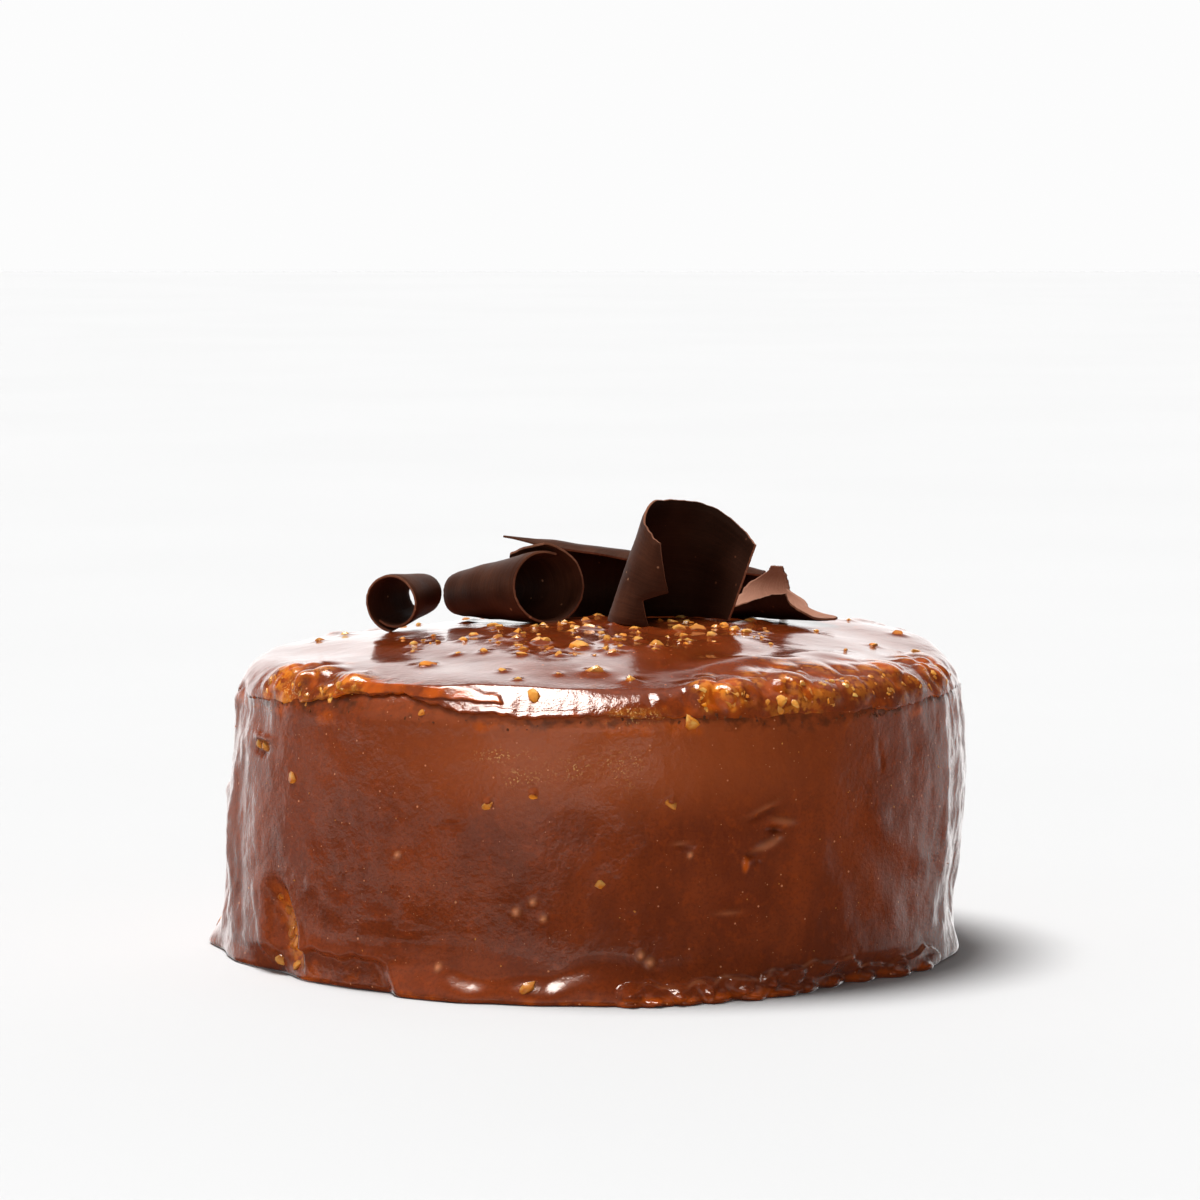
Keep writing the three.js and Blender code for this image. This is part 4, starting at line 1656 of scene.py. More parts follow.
class GlazeSurface:
    """Finds points on the finished skins."""

    def __init__(self, form: CakeForm, wall: Piece, top: Piece) -> None:
        """Reads both skins.

        Args:
            form: The form that they share.
            wall: The wall.
            top: The poured top.
        """
        self.form = form
        graph = bpy.context.evaluated_depsgraph_get()
        self.trees = [BVHTree.FromObject(skin, graph) for skin in (wall, top)]

    def hit(self, start: Vector, way: Vector) -> tuple[Vector, Vector]:
        """First point of either skin met from a place, and the way out of it.

        Args:
            start: Place in metres.
            way: Direction.

        Returns:
            The point and the normal there.
        """
        found = [tree.ray_cast(start, way) for tree in self.trees]
        found = [result for result in found if result[0] is not None]
        nearest = min(found, key=lambda result: result[3])
        return nearest[0], nearest[1]

    def above(self, x: float, y: float) -> tuple[Vector, Vector]:
        """Point of the glaze under a place, given in millimetres."""
        return self.hit(Vector((x * MM, y * MM, 0.2)), Vector((0, 0, -1)))

    def beside(self, angle: float, height: float) -> tuple[Vector, Vector]:
        """Point of the glaze at degrees from the front and a height in millimetres.

        Args:
            angle: The degrees.
            height: The height.

        Returns:
            The point and the normal there.
        """
        turn = math.radians(angle)
        out = Vector((math.sin(turn), -math.cos(turn), 0.0))
        start = self.form.placed(np.array([angle]), np.array([300.0]), np.array([height]), np.array([height]))
        return self.hit(Vector(start[0]) * MM, -out)


@dataclass
class SmallLumps:
    """Many small lumps in one piece: rough pebbles with chopped sides, each turned its own way."""

    name: str
    seed: int
    shapes: int = 12
    chops: int = 7
    chop_depth: Pair = (0.43, 0.76)
    squash: Pair = (0.85, 1.25)
    sink: float = 0.4
    flatness: float = 0.8
    dice: random.Random = field(init=False)

    def __post_init__(self) -> None:
        """Seeds the dice."""
        self.dice = random.Random(self.seed)

    def shape(self) -> tuple[Array, list[tuple[int, ...]], Array]:
        """Models one pebble of about unit radius: a round of few faces, squashed and chopped.

        Returns:
            Its points, its faces and how pale each point is, which a chopped side is most.
        """
        deselect_all()
        bpy.ops.mesh.primitive_ico_sphere_add(subdivisions=2, radius=1.0)
        pebble = bpy.context.object
        points = read_places(pebble)
        faces = [tuple(face.vertices) for face in pebble.data.polygons]
        points *= np.array([self.dice.uniform(*self.squash) for _ in range(3)])
        pale = np.zeros(len(points))
        for _ in range(self.chops):
            way = Vector([self.dice.gauss(0, 1) for _ in range(3)]).normalized()
            normal = np.array(way)
            beyond = np.maximum(points @ normal - self.dice.uniform(*self.chop_depth), 0.0)
            points -= np.outer(beyond * 0.96, normal)
            pale[beyond > 0.05] = self.dice.uniform(0.0, 0.8)
        bpy.data.objects.remove(pebble)
        return points, faces, pale

    def set_down(self, perch: Perch, shape: Array, pale: Array) -> tuple[Array, Array, Array]:
        """Turns a pebble its own way and sinks it where it sits.

        Args:
            perch: Where it sits.
            shape: Points of the pebble.
            pale: How pale each point is.

        Returns:
            Its points in millimetres, how pale each is, with its top paler as painted light, and how coated
            each is.
        """
        spin = Matrix.Rotation(self.dice.uniform(0, 2 * math.pi), 3, "Z")
        tip = Matrix.Rotation(self.dice.uniform(-1.2, 1.2), 3, "X")
        turn = np.array(perch.out.to_track_quat("Z", "Y").to_matrix() @ spin @ tip)
        out = np.array(perch.out)
        at = np.array(perch.point / MM) - out * self.sink * perch.radius
        local = shape * perch.radius @ turn.T
        local -= np.outer(local @ out, out) * (1 - self.flatness)
        proud = (local @ out) / perch.radius - self.sink
        climbing = 1 - smoothstep(proud, -0.25, 0.12)
        # Painted light: points higher up are made paler, as the light from above falls on the tops.
        tone = 0.35 * self.dice.random() + pale + 0.3 * local[:, 2] / perch.radius
        return local + at, tone, np.maximum(perch.coat.value, 0.9 * climbing)

    def build(self, perches: list[Perch], material: Material, slot: str) -> Piece:
        """Copies the pebbles to their perches and joins them in one piece.

        Args:
            perches: Where they sit.
            material: Their finish.
            slot: Not used; it is only handed on to settle.

        Returns:
            The piece.
        """
        shapes = [self.shape() for _ in range(self.shapes)]
        points, faces, tones, coats = [], [], [], []
        count = 0
        for perch in perches:
            shape, shape_faces, pale = shapes[self.dice.randrange(self.shapes)]
            placed, tone, coat = self.set_down(perch, shape, pale)
            points.append(placed)
            tones.append(tone)
            coats.append(coat)
            faces += [tuple(corner + count for corner in face) for face in shape_faces]
            count += len(shape)
        mesh = bpy.data.meshes.new(self.name)
        mesh.from_pydata((np.vstack(points) * MM).tolist(), [], faces)
        piece = bpy.data.objects.new(self.name, mesh)
        bpy.context.scene.collection.objects.link(piece)
        paint(piece, "marks", (np.concatenate(tones), np.concatenate(coats)))
        piece.data.materials.append(material)
        shade_smooth(piece, 20.0)
        settle(piece, slot)
        return piece


@dataclass(frozen=True)
class NutZone:
    """An oval of the top with small nuts: how many, its middle, its half spans and their radii."""

    count: int
    middle: Pair
    spans: Pair
    radii: Pair

    def draw(self, dice: random.Random) -> NutSpot:
        """Draws one nut anywhere in the zone.

        Args:
            dice: Where its random numbers come from.

        Returns:
            The nut.
        """
        turn = dice.uniform(0, 2 * math.pi)
        share = math.sqrt(dice.random())
        x = self.middle[0] + self.spans[0] * share * math.cos(turn)
        y = self.middle[1] + self.spans[1] * share * math.sin(turn)
        return NutSpot(x, y, dice.uniform(*self.radii))


@dataclass(frozen=True)
class WallNut:
    """A chopped nut in the wall: degrees from the front, height, radius and coat."""

    angle: float
    height: float
    radius: float
    coat: NutCoat = NutCoat.HALF


@dataclass
class HazelnutScatter:
    """Chopped hazelnuts on the top, in the rim and in the wall."""

    seed: int = 5
    curl_clearance: float = 1.6
    wall_lift: float = 0.22
    top_scale: float = 1.4
    top_reach: float = 84.0
    top_glazed: float = 0.25
    bare_x: Pair = (-62, -18)
    bare_y: Pair = (-8, 26)
    wall_scale: float = 1.45
    wall_count: int = 80
    wall_heights: Pair = (9, 74)
    wall_radii: Pair = (0.25, 0.5)
    rim_count: int = 16
    rim_top: float = 83.5
    rim_sink: float = 0.1
    rim_bare: float = 0.35
    rim_radii: Pair = (0.8, 1.7)
    seen: tuple[NutSpot, ...] = (
        NutSpot(-44, -60, 1.9), NutSpot(2, -77.5, 2.1), NutSpot(-2, -46, 2.3), NutSpot(5.4, -38.4, 1.7),
        NutSpot(7.6, -38, 1.6), NutSpot(4.3, -51, 1.5), NutSpot(10, -47.5, 1.6), NutSpot(7, -55, 1.6),
        NutSpot(14.6, -34, 1.7), NutSpot(19.3, -45, 1.7), NutSpot(25, -14, 1.9), NutSpot(24.4, 3, 1.6),
        NutSpot(26.8, -24, 1.4), NutSpot(22.3, -25.5, 1.1), NutSpot(25.5, -32, 1.0),
        NutSpot(28.3, -31.6, 1.2), NutSpot(31, -12, 1.9), NutSpot(36, -4, 1.2),
        NutSpot(34.6, -23.6, 1.7), NutSpot(42, -8.4, 1.7), NutSpot(45.8, 11, 2.2), NutSpot(50, 15, 1.6),
        NutSpot(-27, -2.5, 1.9), NutSpot(-25.6, -6, 1.6), NutSpot(-15, -7, 1.5), NutSpot(-7.6, -1, 1.5),
        NutSpot(0.4, -7.5, 2.0), NutSpot(-3, -9, 1.3), NutSpot(-20, -20, 1.7), NutSpot(-19.6, -28, 1.5),
        NutSpot(-25, -26.5, 1.4), NutSpot(-18.7, -40.7, 1.4), NutSpot(-17.5, -48, 1.3),
        NutSpot(-13.8, -35, 1.8), NutSpot(-12, -36.4, 1.3), NutSpot(-10, -47, 1.4),
        NutSpot(-4.7, -19, 1.2), NutSpot(3.5, -21.6, 1.2), NutSpot(10.2, -25.4, 1.2),
        NutSpot(-7.5, -57, 1.5), NutSpot(-17.7, -54.5, 1.5), NutSpot(-28.5, -47, 1.2),
        NutSpot(-35, -28, 1.4), NutSpot(-32, -19, 1.2), NutSpot(-49, -28, 1.2),
        NutSpot(-48.7, -38.8, 1.1), NutSpot(-22.6, -74, 1.2), NutSpot(-7.6, -79, 0.9),
        NutSpot(-18.6, -85, 1.0), NutSpot(12.1, -87, 1.9), NutSpot(8.6, 1, 1.5), NutSpot(-77, 8, 1.2),
        NutSpot(-70, 22, 1.5), NutSpot(81, -13, 1.3), NutSpot(89.5, 12, 1.4), NutSpot(92, -17, 1.8),
    )
    zones: tuple[NutZone, ...] = (
        NutZone(28, (8, -8), (46, 18), (0.7, 1.4)),
        NutZone(28, (2, -30), (50, 28), (0.45, 1.0)),
        NutZone(34, (6, 40), (74, 44), (0.8, 1.8)),
        NutZone(12, (4, -4), (84, 70), (0.6, 1.2)),
    )
    wall_seen: tuple[WallNut, ...] = (
        WallNut(-16.4, 52.5, 1.2), WallNut(-9.7, 55.3, 1.2, NutCoat.BARE), WallNut(10.7, 53.1, 1.2),
        WallNut(1.2, 31.9, 1.2), WallNut(-53.8, 55.3, 1.4), WallNut(13.8, 75.4, 2.05, NutCoat.BARE),
        WallNut(28.3, 79.6, 1.4, NutCoat.BARE), WallNut(-10.5, 81.4, 1.9, NutCoat.BARE),
        WallNut(-63.7, 61.8, 1.7), WallNut(-66.2, 62.4, 1.4), WallNut(-57.0, 21.6, 1.1, NutCoat.DEEP),
        WallNut(-55.2, 18.4, 1.4, NutCoat.DEEP), WallNut(-53.6, 15.2, 1.2, NutCoat.DEEP),
        WallNut(-52.8, 13.0, 1.6), WallNut(-54.6, 11.6, 1.4, NutCoat.DEEP), WallNut(-52.4, 10.2, 1.5),
        WallNut(-53.6, 8.2, 1.2, NutCoat.DEEP), WallNut(-56.3, 4.1, 1.5), WallNut(-51.8, 3.7, 1.3),
        WallNut(-8.3, 4.8, 1.9), WallNut(-28.3, 76.2, 0.9), WallNut(-92.0, 6.0, 1.8),
    )

    def left_bare(self, nut: NutSpot) -> bool:
        """Whether a nut would lie in the part of the top that stays bare, left of the tall curl."""
        return self.bare_x[0] < nut.x < self.bare_x[1] and self.bare_y[0] < nut.y < self.bare_y[1]

    def spots(self) -> tuple[NutSpot, ...]:
        """Nuts that the view shows, with more scattered between and behind them.

        Returns:
            The nuts of the top.
        """
        dice = random.Random(self.seed)
        found = list(self.seen)
        for zone in self.zones:
            for _ in range(zone.count):
                nut = zone.draw(dice)
                clear = all(math.hypot(nut.x - n.x, nut.y - n.y) > nut.radius + n.radius for n in found)
                if clear and not self.left_bare(nut) and math.hypot(nut.x, nut.y) < self.top_reach:
                    found.append(nut)
        return tuple(found)

    def build(
        self, surface: GlazeSurface, spots: tuple[NutSpot, ...], curls: BVHTree, nut: Material
    ) -> Piece:
        """Sets every nut on the glaze.

        Args:
            surface: The glaze.
            spots: The nuts of the top.
            curls: The curls, which the nuts stay clear of.
            nut: Their finish.

        Returns:
            The piece.
        """
        dice = random.Random(self.seed + 1)
        perches = []
        for spot in spots:
            point, out = surface.above(spot.x, spot.y)
            near = curls.find_nearest(point)[3]
            if near > (spot.radius + self.curl_clearance) * MM:
                coat = NutCoat.HALF if dice.random() < self.top_glazed else NutCoat.BARE
                perches.append(Perch(point, out, self.top_scale * spot.radius, coat))
        perches += self.rim_perches(surface, dice) + self.wall_perches(surface, dice)
        return SmallLumps("chopped_hazelnuts", self.seed + 2).build(perches, nut, "hazelnut")

    def rim_perches(self, surface: GlazeSurface, dice: random.Random) -> list[Perch]:
        """Nuts that push through the rim.

        Args:
            surface: The glaze.
            dice: Where its random numbers come from.

        Returns:
            Where they sit.
        """
        perches = []
        for zone in RIM_ZONES:
            for _ in range(round(self.rim_count * zone.amount)):
                angle = zone.angle + dice.uniform(-1, 1) * zone.half_width
                height = zone.height + dice.uniform(-0.8, 0.5) * zone.tall
                point, out = surface.beside(angle, min(height, self.rim_top))
                coat = NutCoat.BARE if dice.random() < self.rim_bare else NutCoat.HALF
                sunk = point - out * (self.rim_sink * MM)
                perches.append(Perch(sunk, out, dice.uniform(*self.rim_radii), coat))
        return perches

    def wall_perches(self, surface: GlazeSurface, dice: random.Random) -> list[Perch]:
        """Nuts in the wall: those that the view shows, and small ones all round.

        Args:
            surface: The glaze.
            dice: Where its random numbers come from.

        Returns:
            Where they sit.
        """
        perches = []
        for nut in self.wall_seen:
            point, out = surface.beside(nut.angle, nut.height)
            lifted = point + out * self.wall_lift * nut.radius * MM
            perches.append(Perch(lifted, out, self.wall_scale * nut.radius, nut.coat))
        for _ in range(self.wall_count):
            angle = dice.uniform(-180, 180)
            point, out = surface.beside(angle, dice.uniform(*self.wall_heights))
            perches.append(Perch(point, out, dice.uniform(*self.wall_radii), NutCoat.HALF))
        return perches


@dataclass
class SeamCrumbs:
    """Dark crumbs caught along the seam under the lip."""

    seed: int = 9
    count: int = 150
    height: float = 75.0
    spread: float = 0.72
    radii: Pair = (0.25, 0.6)

    def build(self, surface: GlazeSurface, crumb: Material) -> Piece:
        """Sets crumbs along the seam, in patches.

        Args:
            surface: The glaze.
            crumb: Their finish.

        Returns:
            The piece.
        """
        dice = random.Random(self.seed)
        perches = []
        while len(perches) < self.count:
            angle = dice.uniform(-180, 180)
            turn = math.radians(angle)
            patch = 0.5 + 0.5 * math.sin(19 * turn + 2 * math.sin(5 * turn))
            front_right = 0.25 + 0.75 * float(sector(angle, 30, 26, 2.0))
            if dice.random() < front_right * (0.15 + 0.85 * patch):
                height = self.height + 0.9 * math.sin(7 * turn)
                point, out = surface.beside(angle, height + dice.gauss(0, self.spread))
                perches.append(Perch(point, out, dice.uniform(*self.radii), NutCoat.BARE))
        crumbs = SmallLumps("seam_crumbs", self.seed + 1, chop_depth=(0.4, 0.8), sink=0.35)
        return crumbs.build(perches, crumb, "glaze")


# Curls


class CurlSide(Enum):
    """Which finish a side of a curl takes, by its place in the tuple of finishes: the third is a darker copy
    that paints shade on a side, the fourth a paler copy that paints light on a lit face.
    """

    OUTER = 0
    CUT = 1
    INNER = 2
    PALE = 3


@dataclass(frozen=True)
class Curl:
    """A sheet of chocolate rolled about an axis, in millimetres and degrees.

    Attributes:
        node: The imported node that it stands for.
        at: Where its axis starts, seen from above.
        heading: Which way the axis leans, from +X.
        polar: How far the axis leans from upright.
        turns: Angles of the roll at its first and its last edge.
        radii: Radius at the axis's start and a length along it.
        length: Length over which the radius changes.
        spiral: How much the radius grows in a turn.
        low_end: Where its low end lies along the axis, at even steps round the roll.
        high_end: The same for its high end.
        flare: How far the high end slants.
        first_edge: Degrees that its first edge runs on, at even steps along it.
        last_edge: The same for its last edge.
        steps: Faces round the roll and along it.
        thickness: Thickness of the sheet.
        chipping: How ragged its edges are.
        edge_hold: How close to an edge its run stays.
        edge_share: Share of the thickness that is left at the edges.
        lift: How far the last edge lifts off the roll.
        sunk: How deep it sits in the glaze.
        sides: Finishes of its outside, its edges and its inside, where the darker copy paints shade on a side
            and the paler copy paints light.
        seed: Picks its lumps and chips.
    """

    node: str
    at: Pair
    heading: float
    polar: float
    turns: Pair
    radii: Pair
    length: float
    spiral: float = 0.0
    low_end: tuple[float, ...] = (0.0, 0.0)
    high_end: tuple[float, ...] = (10.0, 10.0)
    flare: float = 0.0
    first_edge: tuple[float, ...] = (0.0, 0.0)
    last_edge: tuple[float, ...] = (0.0, 0.0)
    steps: tuple[int, int] = (150, 50)
    thickness: float = 1.2
    chipping: float = 0.35
    edge_hold: float = 9.0
    edge_share: float = 0.55
    lift: float = 0.0
    sunk: float = 0.4
    # By default the inside takes the darker copy: painted shade inside the roll.
    sides: tuple[CurlSide, ...] = (CurlSide.OUTER, CurlSide.CUT, CurlSide.INNER)
    seed: int = 0

    def radius(self, turn: Array, height: Array) -> Array:
        """Radius of the roll at an angle of it and a distance along its axis.

        Args:
            turn: The angle.
            height: The distance.

        Returns:
            The radius.
        """
        low, high = self.radii
        lifted = self.lift * smoothstep(turn, self.turns[1] - 34.0, self.turns[1])
        return low + (high - low) * height / self.length + self.spiral * turn / 360.0 + lifted

    def edges(self, along: Array) -> tuple[Array, Array]:
        """How far the two free edges run on, in degrees, at shares of the length."""
        return between(self.first_edge, along), between(self.last_edge, along)

    def ends(self, around: Array, turn: Array) -> tuple[Array, Array]:
        """Where the two ends lie along the axis, at shares of the roll."""
        flare = self.flare * np.sin(np.radians(turn))
        return between(self.low_end, around), between(self.high_end, around) + flare

    def chips(self, share: Array, size: float, seed: int) -> Array:
        """Ragged run of an edge."""
        line = np.stack([share * size, np.full_like(share, 0.5), np.full_like(share, 0.5)], axis=1)
        return self.chipping * rough(line, 1.0, self.seed + seed, 4)

    def rolled(self, around: Array, along: Array) -> Array:
        """Points of the sheet once it is rolled and stood on its axis.

        Args:
            around: Share of the roll of each vertex.
            along: Share of the length of each vertex.

        Returns:
            The points, three to a row.
        """
        first, last = self.edges(along)
        first = first + 2.5 * self.chips(along, 14.0, 1)
        last = last + 2.5 * self.chips(along, 14.0, 2)
        turn = self.turns[0] + (self.turns[1] - self.turns[0]) * around
        turn = turn + first * (1 - around) ** self.edge_hold + last * around**self.edge_hold
        low, high = self.ends(around, turn)
        low = low + self.chips(around, 24.0, 3)
        high = high + self.chips(around, 24.0, 4)
        height = low + (high - low) * along
        radius = self.radius(turn, height)
        angle = np.radians(turn)
        points = np.stack([radius * np.cos(angle), radius * np.sin(angle), height], axis=1)
        uneven = 0.22 * lumps(points, 7.0, self.seed + 5)
        share = uneven / np.maximum(radius, 1.0)
        return points * (1 + np.stack([share, share, 0 * share], axis=1))

    def thin_edges(self, sheet: Piece, around: Array, along: Array) -> None:
        """Weighs the sheet so that it thins out towards its free edges.

        Args:
            sheet: The rolled sheet.
            around: Share of the roll of each vertex.
            along: Share of the length of each vertex.
        """
        from_end = np.minimum.reduce([around, 1 - around, along, 1 - along])
        weights = smoothstep(from_end, 0.0, 0.07)
        inner = sheet.vertex_groups.new(name="inner")
        for index, weight in enumerate(weights.tolist()):
            inner.add([index], weight, "REPLACE")

    def build(self, finishes: tuple[Material, ...]) -> Piece:
        """Rolls a grid, gives it thickness with worn edges, and lays it where its node is.

        Args:
            finishes: Finishes of its outside, its broken edges, a darker copy with painted shade and a paler
                copy with painted light.

        Returns:
            The piece.
        """
        sheet = add_sheet("shaved_" + self.node, *self.steps)
        around, along = sheet_shares(sheet)
        tip = Matrix.Rotation(math.radians(self.polar), 3, "Y")
        turn = np.array(Matrix.Rotation(math.radians(self.heading), 3, "Z") @ tip)
        places = self.rolled(around, along) @ turn.T
        write_places(sheet, places + np.array([*self.at, 0.0]))
        for side in self.sides:
            sheet.data.materials.append(finishes[side.value])
        self.thin_edges(sheet, around, along)
        apply_modifier(
            sheet,
            "SOLIDIFY",
            thickness=self.thickness * MM,
            offset=0.0,
            material_offset=2,
            material_offset_rim=1,
            vertex_group="inner",
            thickness_vertex_group=self.edge_share,
        )
        apply_modifier(sheet, "BEVEL", width=0.12 * MM, segments=2, angle_limit=math.radians(50))
        shade_smooth(sheet, 45.0)
        settled = read_places(sheet)
        settled[:, 2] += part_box(self.node)[0].z - settled[:, 2].min() - self.sunk * MM
        write_places(sheet, settled / MM)
        settle(sheet, "curl_chocolate", self.node)
        return sheet


@dataclass(frozen=True)
class TallCurl(Curl):
    """The curl that stands on end, torn in a notch down its front edge and cut level at its foot."""

    torn: Knots = ((0.0, 14.0), (0.31, -6.0), (0.45, 26.0), (1.0, -10.0))

    def radius(self, turn: Array, height: Array) -> Array:
        """Radius of the roll, which tightens along its turn."""
        wide, tight = self.radii
        return wide + (tight - wide) * smoothstep(turn, 30.0, 230.0)

    def edges(self, along: Array) -> tuple[Array, Array]:
        """How far the two free edges run on: the last is torn."""
        shares, runs = zip(*self.torn)
        return np.zeros_like(along), np.interp(along, shares, runs)

    def ends(self, around: Array, turn: Array) -> tuple[Array, Array]:
        """Where the two ends lie along the leaning axis: the lower is level."""
        level = self.radius(turn, 0 * turn) * np.cos(np.radians(turn)) * math.tan(math.radians(self.polar))
        return level, between(self.high_end, around)


CURLS = (
    TallCurl(
        node="curl_tall",
        at=(18.6, 4.5),
        heading=-22,
        polar=20,
        turns=(36, 270),
        radii=(21.5, 11.0),
        length=34,
        high_end=(30, 34, 32.2, 26.5, 24.5),
        steps=(190, 80),
        seed=100,
    ),
    Curl(
        node="curl_cone",
        at=(-38, 43),
        heading=-50,
        polar=83.5,
        turns=(-206, 178),
        radii=(6.2, 10.5),
        length=39,
        spiral=1.7,
        lift=0.7,
        low_end=(1, 1, 0, 1.5, 0),
        high_end=(40, 41, 41.5, 41, 40.5),
        flare=2.6,
        first_edge=(-60, -60, -34, -6, 0, 0),
        last_edge=(-70, -70, -36, -6, 2, 0),
        edge_hold=6,
        sides=(CurlSide.OUTER, CurlSide.CUT, CurlSide.OUTER),
        steps=(200, 70),
        seed=200,
    ),
    Curl(
        node="curl_tube",
        at=(-48.9, 28),
        heading=-117,
        polar=93,
        turns=(-40, 356),
        radii=(5.1, 7.2),
        length=17,
        spiral=1.3,
        low_end=(-4.2, -3.6, -4.4, -3.8, -4.2),
        high_end=(16.2, 16.2, 16, 16.6, 16.8),
        sides=(CurlSide.OUTER, CurlSide.CUT, CurlSide.OUTER),
        steps=(170, 40),
        seed=300,
    ),
    Curl(
        node="curl_back",
        at=(-24, 46),
        heading=7,
        polar=94,
        turns=(-4, 214),
        radii=(12.4, 6.4),
        length=77,
        low_end=(13, 13, 13, 13, 12, 9, -2),
        high_end=(74, 76, 74, 77, 75),
        last_edge=(-24, -6, -4, 2, 3, 3, 0),
        sunk=1.6,
        steps=(120, 110),
        seed=400,
    ),
    Curl(
        node="curl_trough",
        at=(37, 34),
        heading=-33,
        polar=90,
        turns=(-53, 109),
        radii=(10.4, 10.4),
        length=40,
        low_end=(0, 0, 0, 4, 13),
        high_end=(30, 35, 40, 27, 19, 17),
        first_edge=(23, -23),
        chipping=0.7,
        # Painted shade on the trough's outside, painted light on its inside.
        sides=(CurlSide.INNER, CurlSide.CUT, CurlSide.PALE),
        steps=(120, 80),
        seed=500,
    ),
)


# Studio


@dataclass(frozen=True)
class LightPanel:
    """A soft bright panel far away: degrees from the front, from the floor up, and its strength."""

    angle: float
    half_width: float
    low: float
    high: float
    strength: float
    soft: float = 8.0


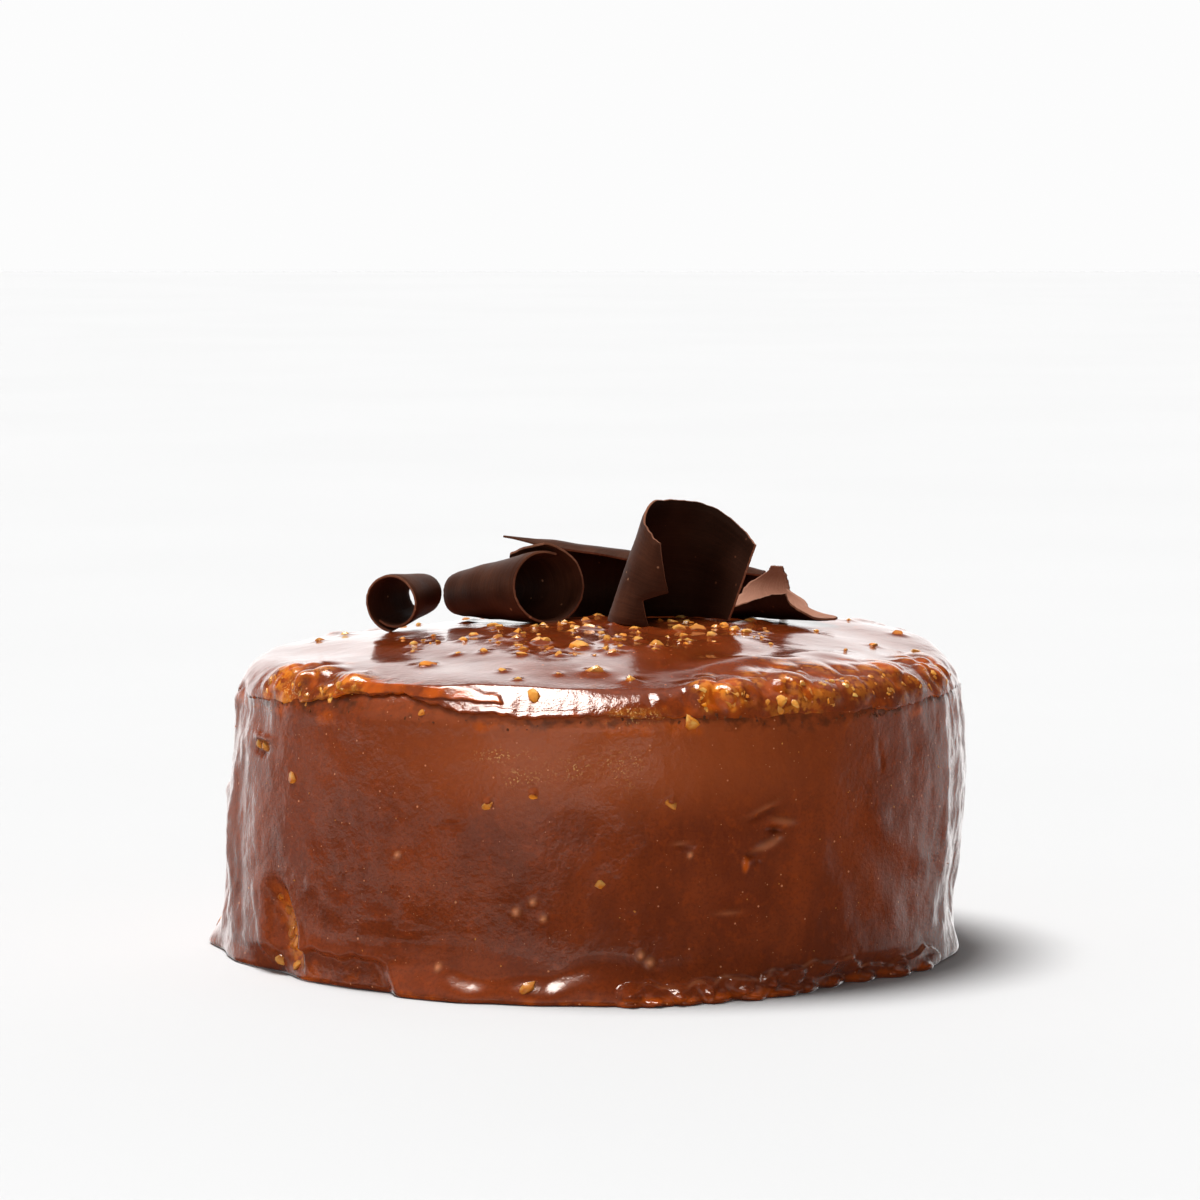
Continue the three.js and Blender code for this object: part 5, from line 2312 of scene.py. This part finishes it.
@dataclass
class Studio:
    """Pale floor, soft panels all round and the camera."""

    camera_place: tuple[float, float, float] = (3.49, -1500.0, 233.4)
    camera_pitch: float = 5.13
    lens: float = 158.55
    ambient: float = 0.05
    backdrop: float = 0.975
    panels: tuple[LightPanel, ...] = (
        LightPanel(180, 26, -14, 24, 1.35, 10.0), LightPanel(180, 85, 48, 90, 0.4, 14.0),
        LightPanel(-138, 20, -14, 9, 0.58, 8.0), LightPanel(140, 18, -14, 9, 0.36, 6.0),
        LightPanel(-108, 12, -14, 9, 0.22, 8.0), LightPanel(112, 16, -14, 6, 0.24, 14.0),
        LightPanel(116, 18, -15, -6, 0.22, 12.0), LightPanel(-54, 46, -10, -2.5, 0.85, 3.0),
        LightPanel(-8, 28, 3, 13, 1.0, 4.0), LightPanel(-36, 60, 14, 50, 0.3, 15.0),
    )
    overhead: tuple[float, float, float] = (-0.235, 0.1, 0.967)
    overhead_half_width: float = 12.5
    overhead_soft: float = 2.0
    overhead_strength: float = 24.0

    def build(self, effects: Effects) -> None:
        """Sets up the floor, the light and the camera.

        Args:
            effects: The shared node groups.
        """
        self.lay_floor(FloorFinish().material(effects))
        self.light_world()
        self.place_camera()

    def lay_floor(self, paper: Material) -> None:
        """Lays a level floor that takes no part in reflections.

        Args:
            paper: Its finish.
        """
        deselect_all()
        bpy.ops.mesh.primitive_plane_add(size=14.0)
        floor = bpy.context.object
        floor.name = "studio_floor"
        floor.data.materials.append(paper)
        floor.visible_glossy = False

    def panel_light(self, tree: Tree, way: Socket, flat: Socket, panel: LightPanel) -> Socket:
        """Brightness of one panel in each direction.

        Args:
            tree: The world's nodes.
            way: Direction looked in.
            flat: The same, laid level.
            panel: The panel.

        Returns:
            The brightness.
        """
        turn = math.radians(panel.angle)
        across = facing(tree, flat, (math.sin(turn), -math.cos(turn), 0.0))
        outer = math.cos(math.radians(min(panel.half_width + panel.soft, 180.0)))
        inner = math.cos(math.radians(max(panel.half_width - panel.soft, 0.0)))
        beside = ramp(tree, across, outer - 1e-4, inner)
        height = add_node(tree, "ShaderNodeSeparateXYZ", {0: way}).outputs["Z"]
        low = [math.sin(math.radians(max(panel.low + side * panel.soft, -90))) for side in (-1, 1)]
        high = [math.sin(math.radians(min(panel.high + side * panel.soft, 90))) for side in (-1, 1)]
        light = calc(tree, "MULTIPLY", beside, ramp(tree, height, *low))
        if panel.high < 90:
            under = calc(tree, "SUBTRACT", 1.0, ramp(tree, height, *high))
            light = calc(tree, "MULTIPLY", light, under)
        return calc(tree, "MULTIPLY", light, panel.strength)

    def overhead_light(self, tree: Tree, way: Socket) -> Socket:
        """Brightness of the round soft box overhead.

        Args:
            tree: The world's nodes.
            way: Direction looked in.

        Returns:
            The brightness.
        """
        outer = math.cos(math.radians(self.overhead_half_width + self.overhead_soft))
        inner = math.cos(math.radians(self.overhead_half_width - self.overhead_soft))
        inside = ramp(tree, facing(tree, way, self.overhead), outer, inner)
        return calc(tree, "MULTIPLY", inside, self.overhead_strength)

    def light_world(self) -> None:
        """Lights the studio from panels all round, behind a plain pale backdrop."""
        world = bpy.data.worlds.new("studio")
        bpy.context.scene.world = world
        world.use_nodes = True
        tree = world.node_tree
        background = tree.nodes["Background"]
        way = add_node(tree, "ShaderNodeTexCoord").outputs["Generated"]
        level = add_node(
            tree, "ShaderNodeVectorMath", {0: way, 1: (1.0, 1.0, 0.0)}, operation="MULTIPLY"
        )
        flat = add_node(tree, "ShaderNodeVectorMath", {0: level.outputs[0]}, operation="NORMALIZE")
        total = calc(tree, "ADD", self.ambient, self.overhead_light(tree, way))
        for panel in self.panels:
            light = self.panel_light(tree, way, flat.outputs[0], panel)
            total = calc(tree, "ADD", total, light)
        seen = add_node(tree, "ShaderNodeLightPath").outputs["Is Camera Ray"]
        shown = add_node(tree, "ShaderNodeMix", {0: seen, 2: total, 3: self.backdrop}, data_type="FLOAT")
        tree.links.new(shown.outputs[0], background.inputs["Strength"])
        background.inputs["Color"].default_value = (1.0, 1.0, 1.0, 1.0)

    def place_camera(self) -> None:
        """Places the camera at the height and pitch of the picture."""
        camera = bpy.data.cameras.new("front_view")
        camera.lens = self.lens
        camera.sensor_width = 36.0
        camera.clip_end = 100.0
        view = bpy.data.objects.new("front_view", camera)
        view.location = Vector(self.camera_place) * MM
        view.rotation_euler = (math.radians(90.0 - self.camera_pitch), 0.0, 0.0)
        bpy.context.scene.collection.objects.link(view)
        scene = bpy.context.scene
        scene.camera = view
        scene.view_settings.view_transform = "Standard"


def joined_tree(pieces: list[Piece]) -> BVHTree:
    """Search tree of several pieces together.

    Args:
        pieces: The pieces.

    Returns:
        The tree.
    """
    points, faces = [], []
    for piece in pieces:
        count = len(points)
        points += [tuple(vertex.co) for vertex in piece.data.vertices]
        faces += [tuple(corner + count for corner in face.vertices) for face in piece.data.polygons]
    return BVHTree.FromPolygons(points, faces)


def main() -> None:
    """Builds the cake in order: studio, glaze, curls, nuts and crumbs."""
    logging.basicConfig(level=logging.INFO, format="%(name)s %(message)s")
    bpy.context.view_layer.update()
    effects = Effects()
    Studio().build(effects)
    glaze = GlazeFinish().material(effects)
    shaved = (
        ChocolateFinish(),
        ChocolateFinish("cut_chocolate", (130, 82, 60), (166, 112, 86), roughness=0.5),
        # A darker copy with painted shade for the insides of the rolls, and a paler copy with painted light
        # for the trough's lit inside.
        ChocolateFinish("painted_shade_chocolate", (40, 20, 12), (58, 30, 19), (110, 66, 46)),
        ChocolateFinish("painted_light_chocolate", (156, 106, 84), (190, 138, 114), roughness=0.5),
    )
    finishes = tuple(finish.material(effects) for finish in shaved)
    form = CakeForm()
    nuts = HazelnutScatter()
    spots = nuts.spots()
    wall = GlazedWall(form).build(glaze)
    top = PouredTop(form, spots).build(glaze)
    surface = GlazeSurface(form, wall, top)
    curls = [curl.build(finishes) for curl in CURLS]
    nuts.build(surface, spots, joined_tree(curls), NutFinish().material(effects))
    SeamCrumbs().build(surface, CrumbFinish().material(effects))


if __name__ == "__main__":
    main()
